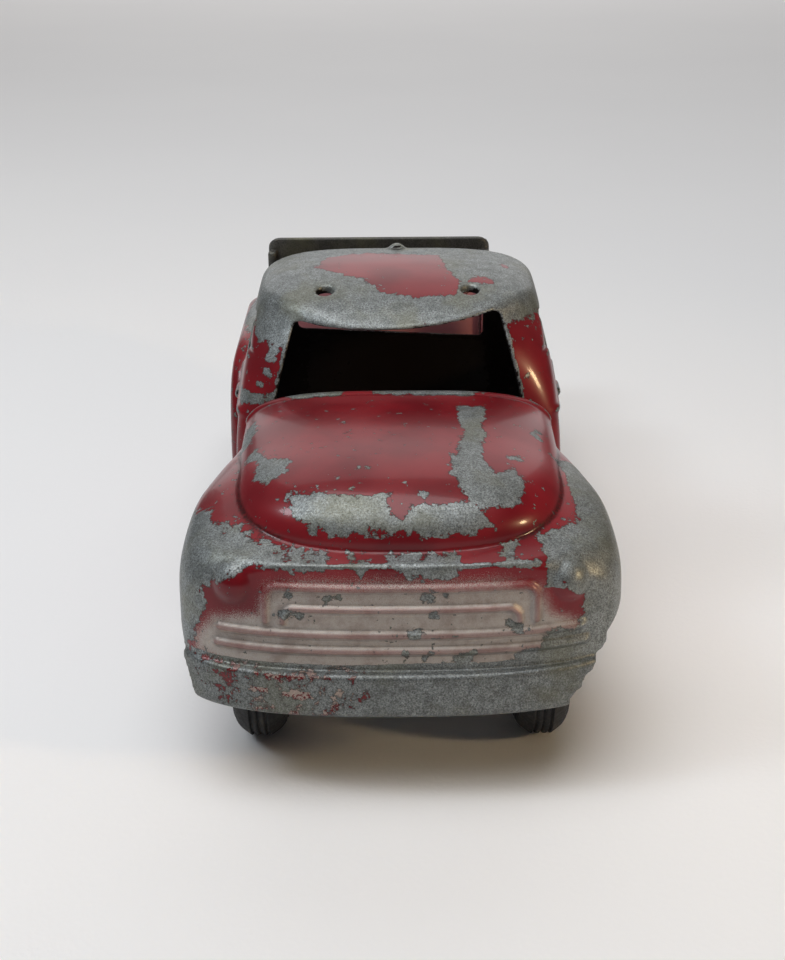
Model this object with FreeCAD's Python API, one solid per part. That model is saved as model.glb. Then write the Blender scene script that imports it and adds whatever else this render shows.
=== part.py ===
"""Die-cast toy tipper truck, built as the separate pieces that it comes apart into.

Units are millimetres.  +Z is up, the truck faces -Y and its left side is +X.  The origin is
on the ground, under the middle of the truck's overall box.  Places along the truck are given
as depths behind the bumper's foremost point, and at() turns a depth into a Y.
"""
import FreeCAD, Part
import math
import os

Vector = FreeCAD.Vector

# ---- The truck as a whole -------------------------------------------------------------
LENGTH = 192.0
FRONT = -LENGTH / 2
WALL = 2.0                    # wall of the zinc castings
SEAM = 0.2                    # gap left between two castings that meet
SHEET = 1.2                   # pressed steel
UNDERSIDE = 17.0              # lower edge of the castings above the ground
OVERCUT = 6.0                 # how far a cutting solid runs past what it cuts
ACROSS = (-60.0, 60.0)        # an X range wider than the truck
HIGH = 90.0                   # a height above the whole truck
TOLERANCE = 0.01

# ---- Wheels and axles -----------------------------------------------------------------
TYRE_RADIUS = 14.5
TYRE_INNER_FACE = 21.5
TYRE_WIDTH = 10.0
TYRE_SHOULDER = 3.6
TYRE_BEAD = 1.2               # chamfer where a tyre's wall meets its hub
HUB_RADIUS = 8.6
HUB_WEB = 3.0
HUB_BOSS_RADIUS = 3.6
HUB_BOSS_REACH = 1.0          # of the inner boss beyond the tyre
HUB_RIM = 1.6                 # thickness of the hub's rim
HUB_INSET = 1.2               # of the rim behind the tyre's faces
HUB_DRAFT = 0.6               # taper of the hub's web and boss
HUB_CONE = 0.8                # taper of the outer boss's end
AXLE_RADIUS = 1.6
RUNNING_CLEARANCE = 0.05      # radial gap of a turning fit
CAP_RADIUS = 2.9
CAP_THICKNESS = 1.6
CAP_GAP = 0.35
FRONT_AXLE_DEPTH = 26.0
REAR_AXLE_DEPTH = 142.0
ARCH_RADIUS = 17.5

# ---- Front casting: bumper, grille, wings and bonnet ----------------------------------
WING_HALF_WIDTH = 40.0
NOSE_SWEEP = 17.0             # how far back the front's plan curve runs to the full width
NOSE_POWER = 2.6              # squareness of that curve
NOSE_MARGIN = 0.5             # of that curve beyond the wings, which trim it
COWL_DEPTH = 60.0             # rear edge of the bonnet
BUMPER_TOP = 26.0
BUMPER_INSET = 0.4            # of the bumper's ends inside the wings
BUMPER_END = 12.0             # depth where the bumper ends
BUMPER_LEDGE = 1.3            # how far the bumper stands out from the grille
GRILLE_TOP = 45.0
GRILLE_LEAN = 2.6             # how far the grille leans back from the ledge to its top
RIB_REACH = 0.7
RIB_HEIGHT = 1.3
# height, half width: two long ribs, and the two bars of the arch above them
GRILLE_RIBS = ((29.8, 33.0), (33.6, 32.5), (37.4, 22.5), (41.2, 23.5))
LAMP_RADIUS = 4.0
LAMP_PLACE = (29.5, 8.8, 40.2)

# depth, half width, height of the crest: cross-sections of the wings
WING_SECTIONS = (
    (-1.0, 40.0, 45.2),
    (6.0, 40.0, 45.6),
    (13.0, 40.0, 47.4),
    (20.0, 40.0, 49.6),
    (28.0, 40.0, 52.0),
    (40.0, 38.0, 53.0),
    (52.0, 34.8, 53.0),
    (COWL_DEPTH, 33.2, 52.6),
)
WING_SPRING = 32.0            # height where the wings' sides start to curve in
WING_POWER = 3.6

# depth, half width, height of the crest: cross-sections of the bonnet
BONNET_SECTIONS = (
    (8.0, 17.0, 46.6),
    (9.5, 20.0, 49.6),
    (13.0, 23.6, 52.4),
    (20.0, 27.4, 55.0),
    (30.0, 30.2, 56.9),
    (45.0, 31.0, 57.4),
    (COWL_DEPTH, 31.2, 56.4),
)
BONNET_FOOT = 41.0
BONNET_SPRING_DROP = 7.5      # from the crest down to where the bonnet's sides turn vertical
BONNET_POWER = 2.7

# ---- Cab casting ----------------------------------------------------------------------
CAB_FRONT = COWL_DEPTH + SEAM
CAB_REAR = 101.5
# height, depth of the front's middle, half width at the front and at the rear,
# length of the rounded front, squareness of it
CAB_LEVELS = (
    (UNDERSIDE, CAB_FRONT, 33.4, 36.2, 5.0, 4.0),
    (46.0, CAB_FRONT, 33.2, 35.6, 6.0, 4.0),
    (55.0, CAB_FRONT, 32.3, 33.4, 10.0, 3.0),
    (70.0, 62.6, 29.4, 29.6, 20.0, 2.0),
    (80.0, 64.4, 27.6, 27.2, 24.0, 2.0),
)
CAB_REAR_ROUND = 7.0
CAB_REAR_POWER = 3.0
ROOF_TOP = 75.2
ROOF_SPRING = 62.0
ROOF_HALF_WIDTH = 30.8
ROOF_POWER = 3.2
ROOF_FRONT_HEIGHT = 68.6      # where the roof's front edge starts to curve back
ROOF_FRONT_RUN = 26.0
ROOF_FRONT_POWER = 2.2
ROOF_REAR_RUN = 4.0
ROOF_REAR_POWER = 2.4
SCREEN_BOTTOM_HALF = 24.7
SCREEN_TOP_HALF = 20.8
SCREEN_BOTTOM = 54.6
SCREEN_TOP = 69.3
SCREEN_CUT = 16.0             # how deep the windscreen is cut into the cab
FOOTWELL_CUT = 8.0            # the same for the open front under it
SIDE_WINDOW_DEPTHS = (71.5, 93.0)
SIDE_WINDOW_HEIGHTS = (52.5, 67.5)
SIDE_WINDOW_RAKE = 4.5
REAR_WINDOW_HALF = 22.5
REAR_WINDOW_HEIGHTS = (56.8, 68.5)
ROOF_HOLE_RADIUS = 1.75
ROOF_HOLE_X = 14.9
ROOF_HOLE_DEPTH = 74.0
LUG_RADIUS = 2.2
LUG_RISE = 0.9                # of the lug's top above the roof
LUG_THICKNESS = 2.0
CAB_FLANGE_HALF = 22.0        # the flange at the cab's foot that its rivets hold
CAB_FLANGE_REACH = 4.0        # of that flange in front of the rivets

# ---- Rear casting: deck and rear wings ------------------------------------------------
REAR_OFFSET = -2.0            # the rear casting sits to one side on the base plate
DECK_FRONT = CAB_REAR + 0.5
DECK_REAR = 176.0
DECK_TOP = 32.6
DECK_HALF_WIDTH = 29.0
DECK_SKIRT = 23.0             # lower edge of the deck's sides
REAR_WING_HALF_WIDTH = 38.0
REAR_WING_INNER = 28.6
REAR_WING_TOP = 50.5
REAR_WING_MIDDLE = 139.0      # depth of the middle of each rear wing
REAR_WING_REACH = 34.0        # of the wing in front of its middle and behind it
REAR_WING_SQUARENESS = 2.6
REAR_WING_SHOULDER = 53.0     # crest of the curve that rounds the wings' outer edges
REAR_WING_POWER = 3.4

# ---- Base plate -----------------------------------------------------------------------
PLATE_HALF_WIDTH = 19.0
PLATE_DEPTHS = (6.0, 172.0)
PLATE_EAR_LENGTH = 9.0
PLATE_CORNER = 4.0
POST_RADIUS = 3.2
RIVET_RADIUS = 1.3
RIVET_HEAD_RADIUS = 2.5
RIVET_HEAD = 0.9
RIVET_HEAD_ROUND = 0.72
FRONT_LUG_HALF = 6.0          # the lug behind the grille that takes the foremost rivet
FRONT_LUG_START = 3.0
FRONT_LUG_HEIGHT = 3.0
FRONT_POSTS = ((0.0, 10.0), (0.0, 50.0))
CAB_POSTS = ((-13.0, 95.0), (13.0, 95.0))
REAR_POSTS = ((-13.0, 116.0), (13.0, 116.0), (-13.0, 168.0), (13.0, 168.0))

# ---- Tipping bed ----------------------------------------------------------------------
BED_OFFSET = -4.0             # the bed stands against one side of its hinge's side play
BED_HALF_WIDTH = 25.0
BED_FRONT = 106.5
BED_REAR = LENGTH
BED_FLOOR = 35.2              # underside of the bed's floor
BED_FLOOR_REAR = 188.6
BED_SIDE_TOP = 50.0
BED_HEAD_TOP = 76.0
BED_HEAD_CORNER = 3.0
BED_FLANGE = 1.9              # folded edges of the headboard
BED_SIDE_RUN = 16.0           # over which the sides drop from the headboard
BED_SIDE_START = 66.8         # height of the sides where they leave the headboard
BED_BEAD = 0.9                # radius of the rolled top edge
BED_EAR_HALF_SPAN = 12.6
BED_EAR_FRONT = 9.0           # reach of the ears' upper edge in front of the pivot
BED_EAR_REAR = 7.4            # and behind it
BED_EAR_NECK = 33.4           # height where the ears widen, above the deck
PIVOT_DEPTH = 180.5
PIVOT_HEIGHT = 30.6
PIVOT_PIN_RADIUS = 1.25
PIVOT_HEAD_RADIUS = 2.1
PIVOT_EYE_RADIUS = 3.6
BRACKET_FACE = 17.2           # inner face of each hinge bracket
BRACKET_FRONT = 164.0
BRACKET_FOOT = 7.0
BRACKET_RIVET_HEAD = 2.0
GATE_GAP = 0.4
GATE_DEPTH = 189.8
GATE_PIN_RADIUS = 0.8
GATE_EYE_RADIUS = 1.8
GATE_PIN_HEIGHT = 47.8
GATE_PIN_PROUD = 0.8
GATE_LIP = 2.2
BRACKET_TOP_GAP = 0.5         # between the brackets and the bed's floor
BRACKET_RIVET_ENDS = (3.0, 5.0)


def at(depth):
    """The Y of a place that lies depth behind the bumper's foremost point."""
    return FRONT + depth


def block(x_range, depths, heights):
    """A box between two values of each of X, depth and height."""
    low = Vector(x_range[0], at(depths[0]), heights[0])
    size = (x_range[1] - x_range[0], depths[1] - depths[0], heights[1] - heights[0])
    return Part.makeBox(size[0], size[1], size[2], low)


def rod_across(radius, x_range, depth, height):
    """A cylinder along X."""
    start = Vector(x_range[0], at(depth), height)
    return Part.makeCylinder(radius, x_range[1] - x_range[0], start, Vector(1, 0, 0))


def rod_up(radius, x, depth, heights):
    """A cylinder along Z."""
    start = Vector(x, at(depth), heights[0])
    return Part.makeCylinder(radius, heights[1] - heights[0], start, Vector(0, 0, 1))


def side_view(points, x_range):
    """A prism along X from (depth, height) corners."""
    corners = [Vector(x_range[0], at(depth), height) for depth, height in points]
    face = Part.Face(Part.makePolygon(corners + corners[:1]))
    return face.extrude(Vector(x_range[1] - x_range[0], 0, 0))


def front_view(points, depths):
    """A prism along Y from (x, height) corners."""
    corners = [Vector(x, at(depths[0]), height) for x, height in points]
    face = Part.Face(Part.makePolygon(corners + corners[:1]))
    return face.extrude(Vector(0, depths[1] - depths[0], 0))


def curve(points):
    """One smooth edge through the points."""
    spline = Part.BSplineCurve()
    spline.interpolate(points)
    return spline.toShape()


def superellipse(half_width, rise, power, steps=24):
    """(across, up) from one side over the top to the other, evenly spread by angle."""
    points = []
    for i in range(steps + 1):
        angle = math.pi * i / steps
        across = math.copysign(abs(math.cos(angle)) ** (2 / power), math.cos(angle))
        points.append((half_width * across, rise * math.sin(angle) ** (2 / power)))
    return points


def closed(edges):
    """A closed wire from edges in order."""
    return Part.Wire(Part.__sortEdges__(edges))


def arch_wire(depth, half_width, foot, spring, crest, power):
    """An upright arch across the truck: flat foot, straight sides and a domed top."""
    y = at(depth)
    dome = [Vector(x, y, spring + z) for x, z in superellipse(half_width, crest - spring, power)]
    right_foot = Vector(half_width, y, foot)
    left_foot = Vector(-half_width, y, foot)
    return closed([
        Part.makeLine(right_foot, dome[0]),
        curve(dome),
        Part.makeLine(dome[-1], left_foot),
        Part.makeLine(left_foot, right_foot),
    ])


def loft(wires, ruled=False):
    return Part.makeLoft(wires, True, ruled)


def nose_wire(height, start, inset, rear):
    """A plan outline: the swept curve of the front and straight sides back to rear."""
    half = WING_HALF_WIDTH + NOSE_MARGIN - inset
    sweep = NOSE_SWEEP
    front = [
        Vector(x, at(start + inset + sweep - y), height)
        for x, y in superellipse(half, sweep, NOSE_POWER)
    ]
    rear_left = Vector(-half, at(rear), height)
    rear_right = Vector(half, at(rear), height)
    return closed([
        curve(front),
        Part.makeLine(front[-1], rear_left),
        Part.makeLine(rear_left, rear_right),
        Part.makeLine(rear_right, front[0]),
    ])


# ---- Front casting --------------------------------------------------------------------
def wings(inset):
    """The block of both front wings and the grille, made smaller all round by inset."""
    foot = UNDERSIDE - OVERCUT * (inset > 0)
    sections = [
        arch_wire(depth, half - inset, foot, WING_SPRING, crest - inset, WING_POWER)
        for depth, half, crest in WING_SECTIONS
    ]
    rear = COWL_DEPTH + OVERCUT
    face = loft([
        nose_wire(UNDERSIDE - OVERCUT, BUMPER_LEDGE, inset, rear),
        nose_wire(BUMPER_TOP, BUMPER_LEDGE, inset, rear),
        nose_wire(GRILLE_TOP + OVERCUT, BUMPER_LEDGE + GRILLE_LEAN, inset, rear),
    ], ruled=True)
    return loft(sections).common(face)


def bonnet(inset):
    """The bonnet above the wings, made smaller by inset."""
    sections = []
    for depth, half, crest in BONNET_SECTIONS:
        start = depth + inset * (depth < COWL_DEPTH)
        spring = crest - min(BONNET_SPRING_DROP, crest - BONNET_FOOT - WALL)
        sections.append(arch_wire(
            start, half - inset, BONNET_FOOT - inset, spring - inset, crest - inset, BONNET_POWER
        ))
    return loft(sections)


def bumper():
    """The bumper, which stands out from the foot of the grille and ends at the wheels."""
    start = -BUMPER_INSET / 2
    bar = loft([
        nose_wire(UNDERSIDE, start, BUMPER_INSET, NOSE_SWEEP),
        nose_wire(BUMPER_TOP, start, BUMPER_INSET, NOSE_SWEEP),
    ], ruled=True)
    hollow = loft([
        nose_wire(UNDERSIDE - OVERCUT, start, BUMPER_INSET + WALL, NOSE_SWEEP + OVERCUT),
        nose_wire(BUMPER_TOP + OVERCUT, start, BUMPER_INSET + WALL, NOSE_SWEEP + OVERCUT),
    ], ruled=True)
    ends = block((-WING_HALF_WIDTH, WING_HALF_WIDTH), (-OVERCUT, BUMPER_END), (UNDERSIDE, BUMPER_TOP))
    return bar.cut(hollow).common(ends)


def rib_band(reach, heights, x_half):
    """A strip of the grille's face that stands reach proud of it."""
    lean = GRILLE_LEAN / (GRILLE_TOP + OVERCUT - BUMPER_TOP)
    start = BUMPER_LEDGE + lean * (heights[0] - BUMPER_TOP) - reach
    outer = loft([
        nose_wire(heights[0], start, 0.0, NOSE_SWEEP),
        nose_wire(heights[1], start, 0.0, NOSE_SWEEP),
    ], ruled=True)
    core = loft([
        nose_wire(heights[0] - OVERCUT, start + WALL, 0.0, NOSE_SWEEP + OVERCUT),
        nose_wire(heights[1] + OVERCUT, start + WALL, 0.0, NOSE_SWEEP + OVERCUT),
    ], ruled=True)
    return outer.cut(core).common(block((-x_half, x_half), (-OVERCUT, NOSE_SWEEP), heights))


def grille_ribs():
    """The grille's raised ribs."""
    return [
        rib_band(RIB_REACH, (height - RIB_HEIGHT / 2, height + RIB_HEIGHT / 2), half)
        for height, half in GRILLE_RIBS
    ]


def headlamps():
    """Two low domes that stand out of the wings' fronts."""
    x, depth, height = LAMP_PLACE
    return [Part.makeSphere(LAMP_RADIUS, Vector(side * x, at(depth), height)) for side in (-1, 1)]


def posts(places, top, foot):
    """Round posts for the rivets."""
    return [rod_up(POST_RADIUS, x, depth, (foot, top)) for x, depth in places]


def rivet_holes(places, heights):
    return [rod_up(RIVET_RADIUS, x, depth, heights) for x, depth in places]


def front_casting():
    plate_top = UNDERSIDE + SHEET
    outer = wings(0.0).fuse([bonnet(0.0), bumper()] + grille_ribs() + headlamps())
    inner = wings(WALL).fuse(bonnet(WALL))
    shell = outer.cut(inner)
    arch = rod_across(ARCH_RADIUS, ACROSS, FRONT_AXLE_DEPTH, TYRE_RADIUS)
    behind = block(ACROSS, (COWL_DEPTH, COWL_DEPTH + 2 * OVERCUT), (0.0, HIGH))
    shell = shell.cut([arch, behind])
    lug = block(
        (-FRONT_LUG_HALF, FRONT_LUG_HALF),
        (FRONT_LUG_START, FRONT_POSTS[0][1] + POST_RADIUS),
        (plate_top, plate_top + FRONT_LUG_HEIGHT),
    ).common(wings(WALL / 2))
    post = posts(FRONT_POSTS[1:], BONNET_SECTIONS[-1][2] - WALL / 2, plate_top)
    return shell.fuse([lug] + post).cut(rivet_holes(FRONT_POSTS, (0.0, plate_top + WALL)))


# ---- Cab casting ----------------------------------------------------------------------
def cab_outline(level, inset):
    """The cab's plan at one height: rounded front, straight sides and rounded rear."""
    height, front, half_front, half_rear, run, power = level
    half_front = half_front - inset
    half_rear = half_rear - inset
    front = front + inset
    rear = CAB_REAR - inset
    turn_front = front + run
    turn_rear = rear - CAB_REAR_ROUND
    nose = [Vector(x, at(turn_front - y), height) for x, y in superellipse(half_front, run, power)]
    tail = [
        Vector(-x, at(turn_rear + y), height)
        for x, y in superellipse(half_rear, CAB_REAR_ROUND, CAB_REAR_POWER)
    ]
    return closed([
        curve(nose),
        Part.makeLine(nose[-1], tail[0]),
        curve(tail),
        Part.makeLine(tail[-1], nose[0]),
    ])


def roof_side_profile(inset):
    """The cab's side view, as a prism across the truck: the roof line and the rear corner."""
    front = CAB_LEVELS[3][1] + inset
    rear = CAB_REAR - inset
    top = ROOF_TOP - inset
    low = ROOF_FRONT_HEIGHT - inset
    lead = superellipse(ROOF_FRONT_RUN, top - low, ROOF_FRONT_POWER)
    turn = front + ROOF_FRONT_RUN
    x = ACROSS[0]
    lead_points = [Vector(x, at(turn - a), low + b) for a, b in lead[: len(lead) // 2 + 1]]
    trail = superellipse(ROOF_REAR_RUN, ROOF_REAR_RUN, ROOF_REAR_POWER)
    back_turn = rear - ROOF_REAR_RUN
    base = top - ROOF_REAR_RUN
    trail_points = [
        Vector(x, at(back_turn - a), base + b) for a, b in trail[len(trail) // 2:]
    ]
    front_low = Vector(x, at(front - OVERCUT), low)
    front_foot = Vector(x, at(front - OVERCUT), 0.0)
    rear_foot = Vector(x, at(rear), 0.0)
    wire = closed([
        Part.makeLine(front_foot, front_low),
        Part.makeLine(front_low, lead_points[0]),
        curve(lead_points),
        Part.makeLine(lead_points[-1], trail_points[0]),
        curve(trail_points),
        Part.makeLine(trail_points[-1], rear_foot),
        Part.makeLine(rear_foot, front_foot),
    ])
    return Part.Face(wire).extrude(Vector(ACROSS[1] - ACROSS[0], 0, 0))


def roof_arch(inset):
    """The cab's front view above the doors, as a prism along the truck."""
    start = CAB_FRONT - OVERCUT
    end = CAB_REAR + OVERCUT
    wire = arch_wire(
        start, ROOF_HALF_WIDTH - inset, ROOF_SPRING - 1.0, ROOF_SPRING, ROOF_TOP - inset, ROOF_POWER
    )
    top = Part.Face(wire).extrude(Vector(0, end - start, 0))
    return top.fuse(block(ACROSS, (start, end), (0.0, ROOF_SPRING)))


def cab_body(inset, foot):
    levels = [(foot,) + CAB_LEVELS[0][1:]] + list(CAB_LEVELS[1:])
    stack = loft([cab_outline(level, inset) for level in levels], ruled=True)
    return stack.common(roof_side_profile(inset)).common(roof_arch(inset))


def cab_windows():
    """The solids that cut the cab's openings."""
    start = CAB_FRONT - OVERCUT
    screen = front_view((
        (-SCREEN_BOTTOM_HALF, SCREEN_BOTTOM),
        (SCREEN_BOTTOM_HALF, SCREEN_BOTTOM),
        (SCREEN_TOP_HALF, SCREEN_TOP),
        (-SCREEN_TOP_HALF, SCREEN_TOP),
    ), (start, CAB_FRONT + SCREEN_CUT))
    footwell = block(
        (-SCREEN_BOTTOM_HALF, SCREEN_BOTTOM_HALF), (start, CAB_FRONT + FOOTWELL_CUT), (0.0, SCREEN_BOTTOM)
    )
    front, rear = SIDE_WINDOW_DEPTHS
    bottom, top = SIDE_WINDOW_HEIGHTS
    sides = side_view((
        (front, bottom),
        (rear, bottom),
        (rear, top),
        (front + SIDE_WINDOW_RAKE, top),
    ), ACROSS)
    behind = (CAB_REAR - OVERCUT, CAB_REAR + OVERCUT)
    rear_window = block((-REAR_WINDOW_HALF, REAR_WINDOW_HALF), behind, REAR_WINDOW_HEIGHTS)
    notch_half = PLATE_HALF_WIDTH + SEAM
    plate_notch = block((-notch_half, notch_half), behind, (0.0, UNDERSIDE + SHEET))
    return [screen, footwell, sides, rear_window, plate_notch]


def roof_lug():
    """The small round lug on the rear edge of the roof."""
    height = ROOF_TOP + LUG_RISE - LUG_RADIUS
    centre = Vector(0, at(CAB_REAR - LUG_THICKNESS), height)
    return Part.makeCylinder(LUG_RADIUS, LUG_THICKNESS, centre, Vector(0, 1, 0))


def cab_casting():
    plate_top = UNDERSIDE + SHEET
    shell = cab_body(0.0, UNDERSIDE).cut(cab_body(WALL, UNDERSIDE - OVERCUT))
    shell = shell.cut(cab_windows())
    flange = block(
        (-CAB_FLANGE_HALF, CAB_FLANGE_HALF),
        (CAB_POSTS[0][1] - CAB_FLANGE_REACH, CAB_REAR - WALL / 2),
        (plate_top, plate_top + WALL),
    )
    holes = [
        rod_up(ROOF_HOLE_RADIUS, side * ROOF_HOLE_X, ROOF_HOLE_DEPTH, (ROOF_SPRING, HIGH))
        for side in (-1, 1)
    ]
    shell = shell.fuse([flange, roof_lug()])
    return shell.cut(holes + rivet_holes(CAB_POSTS, (0.0, plate_top + WALL)))


# ---- Rear casting ---------------------------------------------------------------------
def rear_wing(inset, side):
    """One rear wing, made smaller by inset: a long hump with a rounded outer edge."""
    edges = [REAR_OFFSET + side * x for x in (REAR_WING_INNER + inset, REAR_WING_HALF_WIDTH)]
    x_range = (min(edges), max(edges))
    reach = REAR_WING_REACH - inset
    outline = [
        Vector(x_range[0], at(REAR_WING_MIDDLE + a), UNDERSIDE + b)
        for a, b in superellipse(reach, REAR_WING_TOP - inset - UNDERSIDE, REAR_WING_SQUARENESS)
    ]
    drop = Vector(0, 0, -OVERCUT)
    wire = closed([
        curve(outline),
        Part.makeLine(outline[-1], outline[-1] + drop),
        Part.makeLine(outline[-1] + drop, outline[0] + drop),
        Part.makeLine(outline[0] + drop, outline[0]),
    ])
    hump = Part.Face(wire).extrude(Vector(x_range[1] - x_range[0], 0, 0))
    start = REAR_WING_MIDDLE - REAR_WING_REACH - OVERCUT
    end = REAR_WING_MIDDLE + REAR_WING_REACH + OVERCUT
    section = arch_wire(
        start, REAR_WING_HALF_WIDTH - inset, 0.0, WING_SPRING, REAR_WING_SHOULDER - inset, REAR_WING_POWER
    )
    shoulder = Part.Face(section).extrude(Vector(0, end - start, 0))
    shoulder.translate(Vector(REAR_OFFSET, 0, 0))
    wing = hump.common(shoulder)
    return wing if inset else wing.common(block(ACROSS, (start, end), (UNDERSIDE, HIGH)))


def rear_casting():
    plate_top = UNDERSIDE + SHEET
    half = DECK_HALF_WIDTH
    left, right = REAR_OFFSET - half, REAR_OFFSET + half
    deck = block((left, right), (DECK_FRONT, DECK_REAR), (DECK_SKIRT, DECK_TOP))
    hollow = block(
        (left + WALL, right - WALL), (DECK_FRONT + WALL, DECK_REAR - WALL), (0.0, DECK_TOP - WALL)
    )
    tyre_space = rod_across(DECK_TOP - WALL - TYRE_RADIUS, ACROSS, REAR_AXLE_DEPTH, TYRE_RADIUS)
    arches = [
        rod_across(ARCH_RADIUS, x_range, REAR_AXLE_DEPTH, TYRE_RADIUS)
        for x_range in ((ACROSS[0], left - WALL), (right + WALL, ACROSS[1]))
    ]
    shell = deck.fuse([rear_wing(0.0, -1), rear_wing(0.0, 1)])
    shell = shell.cut([rear_wing(WALL, -1), rear_wing(WALL, 1), hollow, tyre_space] + arches)
    shell = shell.fuse(posts(REAR_POSTS, DECK_TOP - WALL / 2, plate_top))
    deck_holes = bracket_rivet_places(-1) + bracket_rivet_places(1)
    shell = shell.cut(rivet_holes(REAR_POSTS, (0.0, plate_top + WALL)))
    return shell.cut(rivet_holes(deck_holes, (DECK_TOP - 2 * WALL, DECK_TOP + WALL)))


# ---- Base plate, axles and wheels -----------------------------------------------------
def base_plate():
    """Pressed steel, with four ears turned down to carry the axles."""
    half = PLATE_HALF_WIDTH
    plate = block((-half, half), PLATE_DEPTHS, (UNDERSIDE, UNDERSIDE + SHEET))
    corners = [edge for edge in plate.Edges if abs(edge.Length - SHEET) < TOLERANCE]
    plate = plate.makeFillet(PLATE_CORNER, corners)
    ears = []
    for depth in (FRONT_AXLE_DEPTH, REAR_AXLE_DEPTH):
        for low in (-half, half - SHEET):
            side = (low, low + SHEET)
            tongue = (depth - PLATE_EAR_LENGTH / 2, depth + PLATE_EAR_LENGTH / 2)
            ears.append(block(side, tongue, (TYRE_RADIUS, UNDERSIDE + SHEET)))
            ears.append(rod_across(PLATE_EAR_LENGTH / 2, side, depth, TYRE_RADIUS))
    bores = [
        rod_across(AXLE_RADIUS, ACROSS, depth, TYRE_RADIUS)
        for depth in (FRONT_AXLE_DEPTH, REAR_AXLE_DEPTH)
    ]
    holes = rivet_holes(FRONT_POSTS + CAB_POSTS + REAR_POSTS, (0.0, UNDERSIDE + OVERCUT))
    return plate.fuse(ears).cut(bores + holes)


def axle(depth):
    reach = TYRE_INNER_FACE + TYRE_WIDTH + CAP_GAP + CAP_THICKNESS
    return rod_across(AXLE_RADIUS, (-reach, reach), depth, TYRE_RADIUS)


def axle_caps(depth):
    """Two pressed caps that keep the wheels on."""
    inner = TYRE_INNER_FACE + TYRE_WIDTH + CAP_GAP
    caps = []
    for side in (-1, 1):
        low = inner if side > 0 else -inner - CAP_THICKNESS
        cap = rod_across(CAP_RADIUS, (low, low + CAP_THICKNESS), depth, TYRE_RADIUS)
        caps.append(cap.cut(rod_across(AXLE_RADIUS, (low, low + CAP_THICKNESS), depth, TYRE_RADIUS)))
    return Part.makeCompound(caps)


def turned(profile, side, depth):
    """A solid of revolution on the axle's line from (x, radius) corners, on one side."""
    corners = [Vector(side * x, at(depth), TYRE_RADIUS + radius) for x, radius in profile]
    face = Part.Face(Part.makePolygon(corners + corners[:1]))
    return face.revolve(Vector(0, at(depth), TYRE_RADIUS), Vector(1, 0, 0), 360)


def hub(side, depth):
    """A dished wheel centre with a boss on each face."""
    inner = TYRE_INNER_FACE
    outer = inner + TYRE_WIDTH
    bore = AXLE_RADIUS + RUNNING_CLEARANCE
    web_inner = inner + TYRE_WIDTH / 2 - HUB_WEB / 2
    web_outer = web_inner + HUB_WEB
    rim = HUB_RADIUS - HUB_RIM
    return turned((
        (inner - HUB_BOSS_REACH, bore),
        (inner - HUB_BOSS_REACH, HUB_BOSS_RADIUS),
        (web_inner, HUB_BOSS_RADIUS + HUB_DRAFT),
        (web_inner, rim),
        (inner + HUB_INSET, rim),
        (inner + HUB_INSET, HUB_RADIUS),
        (outer - HUB_INSET, HUB_RADIUS),
        (outer - HUB_INSET, rim),
        (web_outer, rim - HUB_DRAFT),
        (outer - HUB_DRAFT, HUB_BOSS_RADIUS),
        (outer, HUB_BOSS_RADIUS - HUB_CONE),
        (outer, bore),
    ), side, depth)


def tyre(side, depth):
    """A solid rubber tyre with round shoulders."""
    inner = TYRE_INNER_FACE
    outer = inner + TYRE_WIDTH
    tread = TYRE_RADIUS
    shoulder = TYRE_SHOULDER
    diagonal = shoulder * (1 - math.sqrt(0.5))
    bead = TYRE_BEAD

    def spot(x, radius):
        return Vector(side * x, at(depth), TYRE_RADIUS + radius)

    foot = [
        spot(inner, tread - shoulder),
        spot(inner, HUB_RADIUS + bead),
        spot(inner + bead, HUB_RADIUS),
        spot(outer - bead, HUB_RADIUS),
        spot(outer, HUB_RADIUS + bead),
        spot(outer, tread - shoulder),
    ]
    crown = (spot(inner + shoulder, tread), spot(outer - shoulder, tread))
    edges = [Part.makeLine(a, b) for a, b in zip(foot, foot[1:])]
    edges.append(Part.Arc(foot[-1], spot(outer - diagonal, tread - diagonal), crown[1]).toShape())
    edges.append(Part.makeLine(crown[1], crown[0]))
    edges.append(Part.Arc(crown[0], spot(inner + diagonal, tread - diagonal), foot[0]).toShape())
    face = Part.Face(closed(edges))
    return face.revolve(Vector(0, at(depth), TYRE_RADIUS), Vector(1, 0, 0), 360)


def rivets(places, foot, top):
    """Rivets with a low head under the base plate."""
    made = []
    for x, depth in places:
        shank = rod_up(RIVET_RADIUS, x, depth, (foot, top))
        head = rod_up(RIVET_HEAD_RADIUS, x, depth, (foot - RIVET_HEAD, foot))
        rim = [edge for edge in head.Edges if edge.BoundBox.ZMax < foot - RIVET_HEAD + TOLERANCE]
        head = head.makeFillet(RIVET_HEAD_ROUND, rim)
        made.append(shank.fuse(head).removeSplitter())
    return Part.makeCompound(made)


# ---- Tipping bed ----------------------------------------------------------------------
def eye_plate(x_range, points, radius):
    """A plate across X whose corner is rounded about the bed's pivot."""
    plate = side_view(points, x_range)
    return plate.fuse(rod_across(radius, x_range, PIVOT_DEPTH, PIVOT_HEIGHT)).removeSplitter()


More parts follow.
